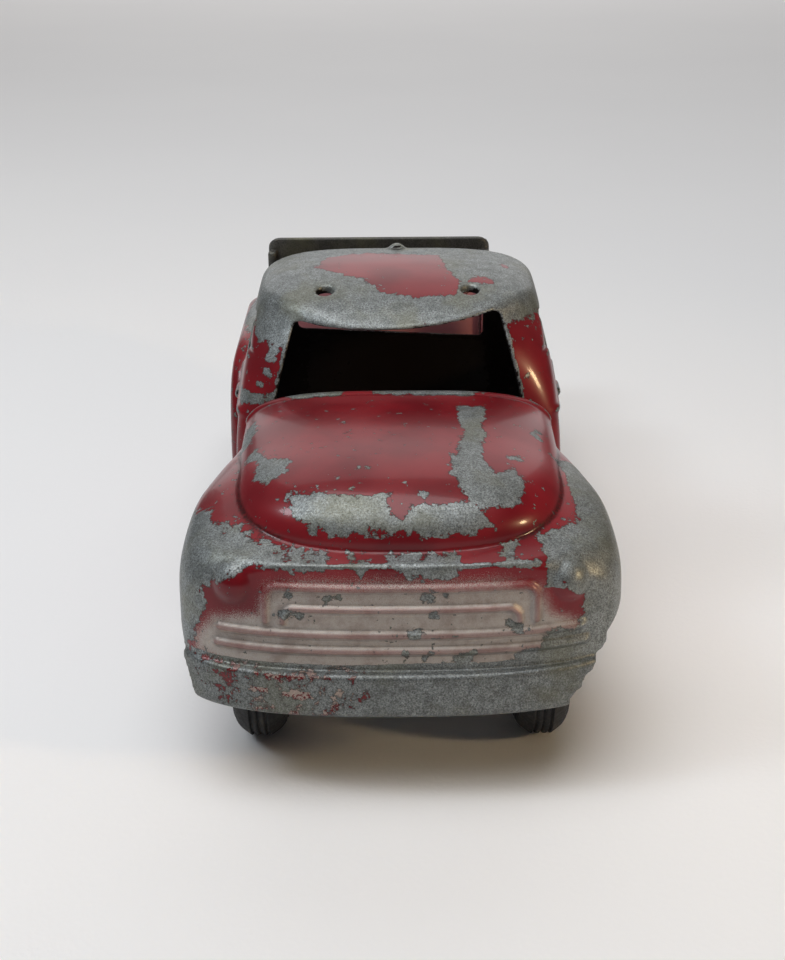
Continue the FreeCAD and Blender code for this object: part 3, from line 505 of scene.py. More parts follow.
# ---- Tipping bed ----
SHEET = 1.2  # thickness of the pressed steel
SIDE_TOP = 50.0
HEAD_RUN = 16.0  # length over which the sides rise to the headboard
HEAD_CORNER = 3.0  # rounding of the headboard's upper corners
EAR_RADIUS, EAR_BORE, EAR_OUT = 3.6, 1.3, 12.0


def bed_field(p):
    """The tipping bed: floor, sides, headboard, rails and two ears for the pivot pin."""
    x, depth, z = p
    low, high = box_mm("dump_bed")
    left, right = low[0] + 0.3, high[0] - 0.3
    front, rear = low[1] + SHEET, high[1]
    floor_low = box_mm("tailgate")[0][2]
    head_top = high[2]
    u = x - (left + right) / 2
    half = (right - left) / 2
    over = np.abs(u) - half
    tray = cuboid((u, depth, z), (-half, front, floor_low), (half, rear + 10, 90.0), 1.6)
    hollow = cuboid((u, depth, z), (-half + SHEET, front + SHEET, floor_low + SHEET),
                    (half - SHEET, rear + 20, 99.0), 0.6)
    wall = carve(tray, hollow, 0.2)
    heel = cuboid(p, (-80, rear - 3.4, 0), (80, rear + 20, floor_low + SHEET + 0.3))
    wall = carve(wall, meet(heel, over + SHEET, 0.1), 0.1)
    slope = np.clip((front + HEAD_RUN - depth) / HEAD_RUN, 0, 1) * (head_top - 7.0 - SIDE_TOP)
    top = np.where(depth < front + SHEET + 0.8, head_top, SIDE_TOP + slope)
    wall = meet(wall, z - top, 0.35)
    above = z - head_top
    plate = np.where(
        (over > -HEAD_CORNER) & (above > -HEAD_CORNER),
        np.hypot(over + HEAD_CORNER, above + HEAD_CORNER) - HEAD_CORNER,
        np.maximum(over, above),
    )
    wall = meet(wall, plate + 0 * depth, 0.2)
    wall = meet(wall, depth - rear + 0.1, 0.3)
    flange = cuboid((np.abs(u), depth, z), (half - 1.9, low[1], floor_low),
                    (half, front + 0.6, head_top - HEAD_CORNER), 0.45)
    wall = join(wall, flange, 0.4)
    rail = np.hypot(over + SHEET / 2, z - SIDE_TOP) - 0.9
    rail = meet(rail, front + HEAD_RUN - depth, 0.4)
    rail = meet(rail, depth - rear, 0.4)
    wall = join(wall, rail, 0.3)
    pivot = centre_mm("bed_pivot_pin")
    from_pin = np.hypot(depth - pivot[1], z - pivot[2])
    gusset = np.abs(depth - pivot[1]) - EAR_RADIUS - (z - pivot[2])
    gusset = np.maximum(gusset, z - floor_low - 0.6)
    gusset = np.maximum(gusset * 0.7, pivot[2] - z)
    ear = np.minimum(from_pin - EAR_RADIUS, gusset)
    ear = meet(ear, np.abs(np.abs(u) - EAR_OUT) - SHEET / 2, 0.2)
    ear = carve(ear, from_pin - EAR_BORE, 0.1)
    return join(wall, ear, 0.3)


# ---- Tailgate ----
PIN_BORE, EYE_RADIUS = 0.85, 1.75


def gate_field(p):
    """The tailgate: a pressed panel, a rolled eye around its pin and a lip at its foot."""
    low, high = box_mm("tailgate")
    pin = centre_mm("tailgate_pin")
    x, depth, z = p
    near, far = pin[1] - SHEET / 2, pin[1] + SHEET / 2
    panel = cuboid(p, (low[0], near, low[2]), (high[0], far, pin[2]), 0.5)
    frame_line = round_frame(x, z, (low[0] + 5.0, low[2] + 3.0), (high[0] - 5.0, pin[2] - 3.6), 1.5)
    panel = panel - ridge(frame_line, 0.9) * 0.45 * (depth > pin[1])
    from_pin = np.hypot(depth - pin[1], z - pin[2])
    eye = meet(from_pin - EYE_RADIUS, np.abs(x - pin[0]) - (high[0] - low[0]) / 2, 0.3)
    lip = cuboid(p, (low[0], pin[1], low[2]), (high[0], high[1] - 0.1, low[2] + SHEET), 0.4)
    body = join(join(panel, eye, 0.5), lip, 0.4)
    return carve(body, from_pin - PIN_BORE, 0.1)


# ---- Wear: signed distances in mm, negative where the enamel has gone ----
def patch(u, v, points):
    """Signed distance to a closed outline, negative inside."""
    points = np.asarray(points, float)
    nearest = np.full(len(u), 1e9)
    inside = np.zeros(len(u), bool)
    for a, b in zip(points, np.roll(points, -1, axis=0)):
        edge = b - a
        t = np.clip(((u - a[0]) * edge[0] + (v - a[1]) * edge[1]) / (edge @ edge), 0, 1)
        nearest = np.minimum(nearest, np.hypot(u - a[0] - t * edge[0], v - a[1] - t * edge[1]))
        crosses = (a[1] > v) != (b[1] > v)
        slope = edge[0] / edge[1] if edge[1] else 0.0
        inside ^= crosses & (u < a[0] + slope * (v - a[1]))
    return np.where(inside, -nearest, nearest)


def spots(u, v, places):
    """Signed distance to round spots of (u, v, radius)."""
    return np.minimum.reduce([np.hypot(u - a, v - b) - r for a, b, r in places])


def patches(u, v, outlines):
    """Signed distance to the nearest of several outlines."""
    return np.minimum.reduce([patch(u, v, points) for points in outlines])


def bare(wear, shape, where):
    """Takes the enamel off inside a shape, where a mask allows."""
    return np.where(where, np.minimum(wear, shape), wear)


def kept(wear, shape, where):
    """Leaves the enamel on inside a shape."""
    return np.where(where, np.maximum(wear, -shape), wear)


def edge_wear(roundness, onset=0.62, rate=3.0):
    """Wear from roundness: enamel goes where the surface is rounder than onset."""
    return np.clip((onset - roundness) * rate, -0.6, 12.0) + np.where(roundness < 0.2, 8.0, 0.0)


# Outlines and spots, as (x, depth) on surfaces that face up and (x, z) on those that face ahead.
BONNET_BARE = (
    ((-28.5, 52), (-30.8, 50), (-30.8, 43), (-28.8, 41), (-27.6, 47)),
    ((-29.5, 35), (-27, 37.5), (-24.5, 31), (-19.6, 26.6), (-20.6, 23), (-24, 21.5), (-26.6, 25),
     (-25.8, 30)),
    ((11, 49), (17, 50), (15.8, 36.5), (15, 26), (17, 21), (20.5, 23.5), (22.6, 20.5), (21, 15.5),
     (16.5, 13), (12.5, 13), (10, 17), (9, 23), (10.5, 27.5), (12, 36)),
    ((-22, 56.9), (-16, 56.3), (-11, 56.8), (-11, 62), (-22, 62)),
    ((-5, 57.2), (1, 56.7), (12, 56.2), (15, 56.8), (15, 62), (-5, 62)),
    ((-20, 17), (-15, 16), (-10.5, 14.8), (-6, 14), (-1.4, 14.6), (-2.2, 12), (0, 9.6), (2.2, 12),
     (6, 12.4), (11, 13), (14.6, 12), (16.4, 10.8), (13, 9.4), (6, 8.4), (2, 8.8), (-4.5, 8.8),
     (-9.5, 8.8), (-15, 10), (-18.6, 12.8)),
)
BONNET_SPOTS = (
    (-10.5, 40.5, 0.5), (-9.5, 36, 0.8), (-7.5, 21.3, 0.3), (-5.5, 21.2, 0.4), (-8.6, 15.5, 0.5),
    (26.5, 43, 0.8), (26, 40.5, 0.9), (21.5, 28, 0.8), (20, 27.4, 0.7), (4.1, 14.2, 0.9),
    (28.5, 36, 0.4),
)
FRONT_BARE = (
    ((-42, 17), (-36.5, 30), (-34, 36), (-35.5, 38.5), (-32, 41), (-28.5, 43.4), (-25, 44.6),
     (-18.5, 43.6), (-18.5, 45.4), (-25, 46.6), (-29, 47.3), (-34, 46.8), (-36.5, 48), (-42, 52)),
    ((24, 46.8), (25.3, 45), (27.5, 43.6), (27, 42), (31.5, 38), (32, 34.5), (31, 32), (26, 32.6),
     (24, 30), (20, 28.6), (19, 27), (42, 26), (42, 54), (33, 50), (32, 47)),
    ((-19, 46), (-12.5, 45.8), (-13, 43.5), (-15.5, 44), (-18, 44.2)),
    ((-9, 45.8), (-5.5, 45.4), (-7, 43)),
    ((-2.7, 45.8), (-0.5, 45.4), (-1, 43.6)),
    ((-0.3, 45.8), (10.3, 46), (9.2, 43), (6, 42.6), (0.7, 43)),
    ((17, 46.4), (20.7, 46.4), (18.7, 44.8)),
)
GRILLE_SPOTS = (
    (2, 32.6, 0.8), (3, 32.9, 0.6), (0.5, 29.2, 0.5), (4.2, 28.5, 0.8), (5, 28.8, 0.6),
    (10.5, 28.2, 1.3), (12, 28.8, 0.9), (19.2, 34.2, 1.0), (20.2, 33.8, 1.1), (5.5, 36.4, 1.0),
    (-19.6, 39.4, 0.8), (-18.2, 36.4, 0.9), (-20, 36.3, 0.9), (-12.5, 39, 0.8), (-11, 39.2, 0.6),
    (4.5, 39.6, 1.2), (7.8, 39.9, 0.8),
)
BUMPER_RED = (
    ((-27, 25.6), (-14, 25.8), (-7, 25.4), (-7.6, 24.6), (-12, 24.4), (-18, 24.2), (-22, 24.6)),
    ((-20.5, 23.5), (-15.5, 23), (-14.5, 20.8), (-18, 20.2), (-20.8, 21)),
    ((-27, 22.6), (-23.5, 23.4), (-22, 21.6), (-26, 20.8)),
    ((-40, 27), (-28, 26.2), (-28, 25.2), (-34, 25.2), (-40, 25.8)),
)
BUMPER_CREAM = (
    ((-13, 20.2), (-12, 22.8), (-10, 23.9), (-8.6, 22.6), (-7.6, 20.4), (-9, 20.2), (-9.6, 22),
     (-11, 21.4), (-11.6, 19.8)),
    ((-22, 23.6), (-19, 22.6), (-16, 24), (-15.6, 23.2), (-19, 21.6), (-22.4, 22.4)),
)
SPRAYED = (
    (-36.5, 29.5), (-33, 34.4), (-25, 36), (-23.5, 41.6), (-17, 43), (17, 43), (24.5, 41),
    (26.5, 35.6), (31.5, 33.2), (34.5, 28), (27, 25.4), (-29, 25.4), (-36.5, 26.6),
)
WING_TOP_BARE = (
    ((-42, 16), (-37.6, 20), (-37.4, 30), (-35.6, 37), (-35.4, 45), (-42, 60)),
    ((29.5, 37), (30.5, 33), (31.5, 25), (32, 17), (28.5, 12.5), (25, 9), (25, 5), (42, 5), (42, 44),
     (35, 44)),
)
ROOF_RED = (
    ((-17.5, 85.5), (-14.5, 93), (-7.5, 95.6), (9.5, 93.6), (10.3, 84), (13, 77), (12, 72),
     (4, 70.6), (-3, 72.6), (-7.5, 78.6), (-12.5, 81.4)),
    ((14.6, 77), (16, 80), (18.5, 79.5), (20, 76.8), (17.5, 76)),
    ((22.2, 89), (23.8, 88.4), (23.6, 85.6), (22.2, 86.2)),
)
PILLAR_SPOTS = (
    (-25.6, 61.6, 0.9), (-26.8, 59, 0.7), (-28.4, 56.4, 0.5), (-25.2, 63, 1.0), (26.4, 58.2, 0.5),
)
PILLAR_FOOT = ((-33, 54.8), (-26, 54.8), (-26, 52.8), (-33, 52))
BUMPER_FLAKING = ((-24, 22.5, 5.5), (-18, 21.5, 4.5), (-11, 23, 4.5), (-33, 22.5, 3.0))
BUMPER_PRIMED = ((-24, 21.5, 4.0), (-16, 21.0, 4.0))
BED_BARE = ((-20, 125), (-8, 118), (6, 124), (13, 140), (14, 180), (-22, 186), (-24, 150))


def front_wear(verts, normals, roundness):
    """Bare patches on the bonnet, wings, grille and bumper."""
    x, depth, z = verts.T
    grille = (depth < 12) & (z > 26.6) & (z < 42.5)
    wear = np.where(grille, 4.0, edge_wear(roundness))
    up = normals[:, 2] > 0.25
    ahead = depth < 24
    wear = bare(wear, patches(x, depth, BONNET_BARE), (z > 48.2) & up)
    wear = bare(wear, spots(x, depth, BONNET_SPOTS), (z > 50) & up)
    wear = bare(wear, patches(x, z, FRONT_BARE), ahead & (z > 26.6))
    wear = bare(wear, patches(x, depth, WING_TOP_BARE), (np.abs(x) > 24) & (z > 40))
    wear = bare(wear, spots(x, z, GRILLE_SPOTS), ahead & (z > 27) & (z < 42))
    wear = bare(wear, np.minimum(37.5 - np.abs(x), 2.5), depth > 24)
    bumper = (z < 26.9) & (depth < 13)
    wear = np.where(bumper, -3.0, wear)
    flaking = np.clip(-spots(x, z, BUMPER_FLAKING) * 0.5, -3, -0.35)
    wear = np.where(bumper, np.maximum(wear, flaking), wear)
    return kept(wear, patches(x, z, BUMPER_RED) + 0.5, bumper)


def front_spray(verts, normals):
    """How thickly silver paint lies over the red around the grille."""
    x, depth, z = verts.T
    inside = -patch(x, z, SPRAYED)
    thinning = blend_of((25, 34, 38, 44), (1.0, 0.95, 0.80, 0.66), z)
    level = np.clip(0.5 + inside / 5, 0, 1) * thinning
    return np.where((depth < 12) & (normals[:, 1] < 0.2) & (z > 25.2), level, 0)


def front_cream(verts, normals):
    """Where pale primer shows through the bumper's last enamel."""
    x, depth, z = verts.T
    cream = np.clip(0.5 - patches(x, z, BUMPER_CREAM), 0, 1)
    primed = np.clip(0.42 - spots(x, z, BUMPER_PRIMED) * 0.05, 0, 0.5)
    return np.where((z < 26) & (depth < 9), np.maximum(cream, primed), 0)


def cab_wear(verts, normals, roundness):
    """The roof is bare above a line that runs round the pillars, but for islands of enamel."""
    x, depth, z = verts.T
    wear = edge_wear(roundness, 0.56)
    line = np.where(x < 0, 64.0, 68.2 - 0.06 * np.maximum(x - 20, 0))
    line = np.where(x < -29.4, 69.0, line)
    wear = np.minimum(wear, (line - z) * 0.8)
    wear = kept(wear, patches(x, depth, ROOF_RED), z > 71)
    wear = bare(wear, spots(x, z, PILLAR_SPOTS), depth < 72)
    return bare(wear, patch(x, z, PILLAR_FOOT), depth < 70)


def rear_wear(verts, normals, roundness):
    """The rear wings are bare along their tops."""
    _, depth, z = verts.T
    crest = 46.5 - z + 0.12 * np.abs(depth - REAR_MIDDLE)
    return np.minimum(edge_wear(roundness, 0.5), crest)


UNWORN = 9.0  # a distance at which no enamel is missing
HEAD_BARE = 67.5  # the headboard is bare above this height
HEAD_FRONT = box_mm("dump_bed")[0][1]


def bed_wear(verts, normals, roundness):
    """The bed is bare along the headboard's top and where a load has slid on its floor."""
    x, depth, z = verts.T
    # Enamel stays on the faces that look ahead, where the headboard's painted light goes
    facing_ahead = (normals[:, 1] < -0.6) & (z < HEAD_BARE)
    wear = np.where(facing_ahead, UNWORN, edge_wear(roundness, 0.7))
    head = np.where(depth < HEAD_FRONT + 4, HEAD_BARE - z, UNWORN)
    on_floor = (normals[:, 2] > 0.7) & (z < 38)
    return bare(np.minimum(wear, head), patch(x, depth, BED_BARE), on_floor)


def headboard_painted_light(verts, normals):
    """Painted light: the headboard's front below the roof's height, turned pale pink as if lit."""
    _, depth, z = verts.T
    return np.where((depth < HEAD_FRONT + 2.5) & (normals[:, 1] < -0.5) & (z < 68.5), 0.9, 0.0)


# ---- Materials ----
class Graph:
    """A material's nodes, built from the surface's place in mm."""

    def __init__(self, name):
        self.material = bpy.data.materials.new(name)
        self.material.use_nodes = True
        self.tree = self.material.node_tree
        self.shader = self.tree.nodes["Principled BSDF"]
        self.coordinates = self.node("TexCoord").outputs
        self.place = self.vector("MULTIPLY", self.coordinates["Object"], (1 / MM,) * 3)

    def put(self, socket, value):
        """Links a socket, or sets its value."""
        if isinstance(value, bpy.types.NodeSocket):
            self.tree.links.new(value, socket)
        elif isinstance(value, tuple) and len(value) == 3 and socket.type == "RGBA":
            socket.default_value = (*value, 1)
        else:
            socket.default_value = value

    def node(self, kind, *values, **settings):
        """A new node, with values for its first inputs."""
        node = self.tree.nodes.new("ShaderNode" + kind)
        for name, setting in settings.items():
            setattr(node, name, setting)
        for socket, value in zip(node.inputs, values):
            self.put(socket, value)
        return node

    def vector(self, operation, *values):
        return self.node("VectorMath", *values, operation=operation).outputs[0]

    def math(self, operation, *values):
        return self.node("Math", *values, operation=operation).outputs[0]

    def noise(self, scale, detail=3.0, rough=0.55, shift=0.0, stretch=(1, 1, 1)):
        """Noise with features about 1/scale mm across, from 0 to 1."""
        moved = self.vector("MULTIPLY_ADD", self.place, stretch, (shift,) * 3)
        node = self.node("TexNoise", moved)
        for name, value in (("Scale", scale), ("Detail", detail), ("Roughness", rough)):
            node.inputs[name].default_value = value
        return node.outputs["Fac"]

    def stir(self, base, noise, amount):
        """base, moved up and down by noise."""
        return self.math("MULTIPLY_ADD", self.math("SUBTRACT", noise, 0.5), amount, base)

    def step(self, value, low, high, start=0.0, end=1.0):
        """A smooth change from start to end while value goes from low to high."""
        node = self.node("MapRange", value, low, high, start, end, interpolation_type="SMOOTHSTEP")
        return node.outputs["Result"]

    def mix(self, factor, a, b):
        node = self.node("Mix", factor, data_type="RGBA")
        self.put(node.inputs[6], a)
        self.put(node.inputs[7], b)
        return node.outputs[2]

    def attribute(self, name):
        """A number stored at the vertices, or 0 on a mesh that has none."""
        return self.node("Attribute", attribute_name=name).outputs["Fac"]

    def facing(self, axis):
        """How far the surface faces along an axis of its own body, from -1 to 1."""
        return self.node("SeparateXYZ", self.coordinates["Normal"]).outputs[axis]

    def bump(self, height, depth_mm, strength=1.0):
        """Small relief, depth_mm from a height of 0 to a height of 1."""
        node = self.node("Bump", strength, depth_mm * MM)
        self.put(node.inputs["Height"], height)
        self.put(self.shader.inputs["Normal"], node.outputs["Normal"])

    def finish(self, **inputs):
        """Fills the shader's inputs and gives the material."""
        for name, value in inputs.items():
            self.put(self.shader.inputs[name.replace("_", " ").title()], value)
        return self.material


ZINC_DARK, ZINC_LIGHT = (0.075, 0.080, 0.076), (0.36, 0.385, 0.385)
ZINC_STAIN = (0.17, 0.165, 0.10)
SILVER, GRILLE_DIRT = (0.41, 0.37, 0.335), (0.19, 0.14, 0.12)
CREAM = (0.42, 0.33, 0.28)
# Near black: painted shadow along the chips' edges, painted shade on the insides and the bumper's
# face, and darkening in creases
SHADE_AND_GRIME = (0.012, 0.008, 0.007)


def enamel(name, deep, fresh, top_sheen_colour, metal_dark=ZINC_DARK, metal_light=ZINC_LIGHT, pale=CREAM):
    """Glossy enamel, chipped to bare metal wherever "wear" and noise go below zero."""
    g = Graph(name)
    broad, middle = g.noise(0.07, 3, 0.5), g.noise(0.5, 6, 0.62, 7.0)
    small, fine = g.noise(2.0, 4, 0.6, 3.0), g.noise(7.0, 3, 0.6)
    wear = g.attribute("wear")
    ragged = g.stir(g.stir(wear, middle, 4.4), small, 1.3)
    chip_level = g.step(wear, 1.5, 9.0, 0.66, 0.735)
    chips = g.math("MULTIPLY", g.math("SUBTRACT", chip_level, g.noise(0.75, 4, 0.6, 21.0)), 9.0)
    edge = g.math("MINIMUM", ragged, chips)
    painted = g.step(edge, -0.06, 0.08)
    # Painted shadow: rim darkens a thin line along the edge of every chip
    rim = g.step(g.math("ABSOLUTE", edge), 0.0, 0.26, 1.0, 0.0)

    grain = g.noise(3.2, 4, 0.7, 11.0)
    metal = g.mix(g.step(grain, 0.28, 0.70), metal_dark, metal_light)
    metal = g.mix(g.step(middle, 0.35, 0.7, 0.0, 0.5), metal, metal_dark)
    metal = g.mix(g.step(g.noise(0.09, 3, 0.6, 40.0), 0.45, 0.7, 0.0, 0.4), metal, ZINC_STAIN)
    metal = g.mix(g.step(fine, 0.56, 0.66, 0.0, 0.7), metal, metal_dark)

    coat = g.mix(g.step(broad, 0.35, 0.65), deep, fresh)
    # Painted sheen: faces that look up turn paler, in patches, toward the third colour
    up = g.step(g.facing(2), 0.15, 0.95)
    top_sheen = g.math("MULTIPLY", up, g.step(g.noise(0.05, 2, 0.5, 13.0), 0.35, 0.6, 0.0, 0.12))
    coat = g.mix(top_sheen, coat, top_sheen_colour)
    speck = g.stir(g.attribute("spray"), g.noise(9.0, 2, 0.5, 5.0), 1.3)
    rubbed = g.step(g.attribute("rib"), 0.3, 0.9, 1.0, 0.6)
    silver = g.math("MULTIPLY", g.step(speck, 0.32, 0.72), rubbed)
    dusty = g.mix(g.step(g.noise(0.25, 6, 0.7, 31.0), 0.30, 0.60, 0.45, 1.0), GRILLE_DIRT, SILVER)
    dusty = g.mix(g.step(fine, 0.5, 0.7, 0.0, 0.4), dusty, GRILLE_DIRT)
    coat = g.mix(silver, coat, dusty)
    # Pale primer where cream is set on the castings; on the bed the pale pink is painted light on the
    # headboard's face
    primer_and_painted_light = g.stir(g.attribute("cream"), small, 1.2)
    coat = g.mix(g.step(primer_and_painted_light, 0.4, 0.55), coat, pale)
    surface_colour = g.mix(painted, metal, coat)
    surface_colour = g.mix(g.math("MULTIPLY", rim, 0.55), surface_colour, SHADE_AND_GRIME)
    # hollow carries the darkening in creases and the painted shade on the insides and the bumper's
    # face
    hollow = g.math("MULTIPLY", g.attribute("hollow"), g.step(small, 0.25, 0.65, 0.35, 1.0))
    surface_colour = g.mix(hollow, surface_colour, SHADE_AND_GRIME)

    bare_rough = g.step(small, 0.3, 0.7, 0.34, 0.52)
    glossy = g.step(g.math("MAXIMUM", silver, top_sheen), 0.0, 1.0, 0.30, 0.46)
    rough = g.math("MULTIPLY_ADD", painted, g.math("SUBTRACT", glossy, bare_rough), bare_rough)
    metallic = g.math("MULTIPLY_ADD", painted, g.math("MULTIPLY_ADD", silver, 0.45, -0.5), 0.5)
    clear = g.math("MULTIPLY", painted, g.step(silver, 0.0, 0.6, 0.28, 0.0))
    cast_skin = g.math("MULTIPLY_ADD", small, 0.35, g.math("MULTIPLY", fine, 0.15))
    film = g.math("MULTIPLY", painted, 1.1)
    g.bump(g.math("MULTIPLY_ADD", g.math("SUBTRACT", 1.0, painted), cast_skin, film), 0.09)
    g.shader.inputs["Specular IOR Level"].default_value = 0.24
    return g.finish(base_color=surface_colour, roughness=rough, metallic=metallic,
                    coat_weight=clear, coat_roughness=0.1)


def steel(name, dark, light, rust, stretch=(1, 1, 1)):
    """Plain or plated steel with stains and fine scratches."""
    g = Graph(name)
    middle, small = g.noise(0.5, 5, 0.6), g.noise(3.0, 4, 0.6, 4.0, stretch)
    colour = g.mix(g.step(middle, 0.3, 0.7), dark, light)
    colour = g.mix(g.step(small, 0.5, 0.75, 0.0, 0.5), colour, dark)
    colour = g.mix(g.step(g.noise(0.35, 5, 0.65, 9.0), 0.54, 0.7, 0.0, 0.85), colour, rust)
    rough = g.step(small, 0.3, 0.7, 0.34, 0.6)
    g.bump(g.math("MULTIPLY_ADD", small, 0.6, g.math("MULTIPLY", middle, 0.4)), 0.05)
    return g.finish(base_color=colour, roughness=rough, metallic=0.75)


def rubber():
    """Old black rubber, dusty and finely cracked, with pale fluff caught on it."""
    g = Graph("old_rubber")
    small, fine = g.noise(1.2, 5, 0.6), g.noise(6.0, 3, 0.6)
    dust = g.step(g.noise(0.3, 4, 0.6, 8.0), 0.55, 0.8, 0.0, 0.35)
    colour = g.mix(g.step(small, 0.35, 0.7), (0.005, 0.005, 0.006), (0.016, 0.015, 0.014))
    colour = g.mix(dust, colour, (0.07, 0.065, 0.055))
    colour = g.mix(g.step(fine, 0.64, 0.74, 0.0, 0.25), colour, (0.12, 0.11, 0.10))
    g.bump(g.math("MULTIPLY_ADD", fine, 0.5, small), 0.12)
    return g.finish(base_color=colour, roughness=g.step(small, 0.3, 0.7, 0.6, 0.85))


# ---- Wheels ----
def lathe(name, axle_centre, profile, around=128):
    """A ring turned about an axle from a closed (x, radius) profile."""
    profile = np.asarray(profile, float)
    angle = np.linspace(0, 2 * np.pi, around, endpoint=False)[:, None]
    x = np.broadcast_to(profile[:, 0], (around, len(profile)))
    verts = np.stack([
        x,
        axle_centre[1] + profile[:, 1] * np.sin(angle),
        axle_centre[2] + profile[:, 1] * np.cos(angle),
    ], 2).reshape(-1, 3)
    i, j = np.meshgrid(np.arange(around), np.arange(len(profile)), indexing="ij")
    i2, j2 = (i + 1) % around, (j + 1) % len(profile)
    n = len(profile)
    faces = np.stack([i * n + j, i2 * n + j, i2 * n + j2, i * n + j2], 2).reshape(-1, 4)
    if profile[:, 0].mean() > 0:
        faces = faces[:, ::-1]
    return mesh_object(name, verts, faces), verts


def rounded(corners, radius, steps=4):
    """A closed outline with its corners rounded."""
    corners = np.asarray(corners, float)
    points = []
    for before, corner, after in zip(np.roll(corners, 1, 0), corners, np.roll(corners, -1, 0)):
        to_before, to_after = before - corner, after - corner
        length_before, length_after = np.linalg.norm(to_before), np.linalg.norm(to_after)
        reach = min(radius, length_before / 2.2, length_after / 2.2)
        start = corner + to_before / length_before * reach
        end = corner + to_after / length_after * reach
        for t in np.linspace(0, 1, steps):
            points.append((1 - t) ** 2 * start + 2 * t * (1 - t) * corner + t**2 * end)
    return np.array(points)


GROOVE_PITCH, GROOVE_DEEP = 1.4, 0.5
GROOVE_TOP, GROOVE_FOOT = 0.35, 0.15  # half widths at the tread and at the groove's foot


def tyre_profile(inner, outer, hub, tread):
    """Round shoulders, a raised ring on each wall and three shallow grooves in the tread."""
    side = [(inner + 1.2, hub), (inner, hub + 1.2), (inner, hub + 2.6), (inner + 0.35, hub + 2.9),
            (inner + 0.35, hub + 3.3), (inner + 1.1, tread - 1.5), (inner + 3.0, tread - 0.1)]
    grooves = []
    for k in (-1, 0, 1):
        middle = (inner + outer) / 2 + GROOVE_PITCH * k
        grooves += [(middle - GROOVE_TOP, tread), (middle - GROOVE_FOOT, tread - GROOVE_DEEP),
                    (middle + GROOVE_FOOT, tread - GROOVE_DEEP), (middle + GROOVE_TOP, tread)]
    mirror = [(inner + outer - a, b) for a, b in reversed(side)]
    return rounded(side + grooves + mirror, 0.7)


HUB_BORE = 1.65


def hub_profile(inner, outer, radius):
    """A boss on the axle, a hollow back, a rim and a dished face."""
    return rounded((
        (inner, HUB_BORE), (inner, 3.6), (inner + 4.4, 4.2), (inner + 4.4, 7.0),
        (inner + 2.2, 7.0), (inner + 2.2, radius), (outer - 1.2, radius), (outer - 1.2, 7.0),
        (outer - 3.2, 6.2), (outer - 2.2, 4.4), (outer - 0.6, 3.6), (outer, 2.8), (outer, HUB_BORE),
    ), 0.5)


def wheel(end, side_name, enamel_mat, rubber_mat):
    """A tyre and a hub, riding their wheel's body."""
    body = f"{end}_{side_name}_wheel"
    hub_low, hub_high = box_mm(f"{end}_{side_name}_hub")
    for part, mat in (("tyre", rubber_mat), ("hub", enamel_mat)):
        node = f"{end}_{side_name}_{part}"
        low, high = box_mm(node)
        centre = (low + high) / 2
        sign = 1 if centre[0] > 0 else -1
        inner, outer = sorted((abs(low[0]), abs(high[0])))
        radius = (high[2] - low[2]) / 2
        if part == "tyre":
            profile = tyre_profile(inner, outer, (hub_high[2] - hub_low[2]) / 2, radius)
        else:
            profile = hub_profile(inner, outer, radius)
        obj, verts = lathe(node + "_turned", centre, profile * (sign, 1))
        if part == "hub":
            attribute(obj, "wear", 3.0 - 1.8 * (np.abs(verts[:, 0]) > outer - 1.4))
        obj.data.materials.append(mat)
        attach(obj, body)
        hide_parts(node)


# ---- Camera, light and floor ----
CAMERA_PLACE = (-1.3, FRONT - 224.3, 161.5)  # mm
CAMERA_DOWN, CAMERA_TURN = 23.7, -0.4  # degrees below level, and round to the truck's left
LENS, SENSOR = 56.25, 36.0  # mm
FLOOR_HALF = 4.0  # m
LAMPS = (  # name, place and target in m, size in m, power in W, colour, spread in degrees
    ("overhead", (-0.12, -0.20, 0.95), (0, 0, 0), 0.8, 7.2, (0.975, 0.985, 1.0), 180),
    ("backdrop", (0.0, 1.25, 0.75), (0, 0, 0.1), 1.6, 8.0, (1.0, 0.985, 0.98), 180),
    ("window", (-0.50, -0.16, 0.62), (0, -0.04, 0.04), 0.16, 1.2, (0.86, 0.93, 1.0), 180),
    ("warm", (0.60, -0.30, 0.26), (0, -0.04, 0.0), 0.07, 0.085, (1.0, 0.72, 0.40), 46),
)
SKY, SKY_STRENGTH = (0.95, 0.96, 1.0, 1), 0.07


def floor_cloth():
    """Plain pale cloth."""
    g = Graph("floor")
    weave = g.noise(0.9, 3, 0.6, 2.0)
    tone = g.mix(g.noise(0.006, 3, 0.5), (0.80, 0.79, 0.785), (0.84, 0.83, 0.82))
    g.bump(weave, 0.12, 0.5)
    return g.finish(base_color=tone, roughness=0.92)


def lamp(name, place, target, size, power, colour, spread):
    """A square area light."""
    light = in_scene(name, bpy.data.lights.new(name, "AREA"))
    light.data.size = size
    light.data.energy = power
    light.data.color = colour
    light.data.spread = math.radians(spread)
    light.location = place
    light.rotation_euler = (Vector(target) - Vector(place)).to_track_quat("-Z", "Y").to_euler()


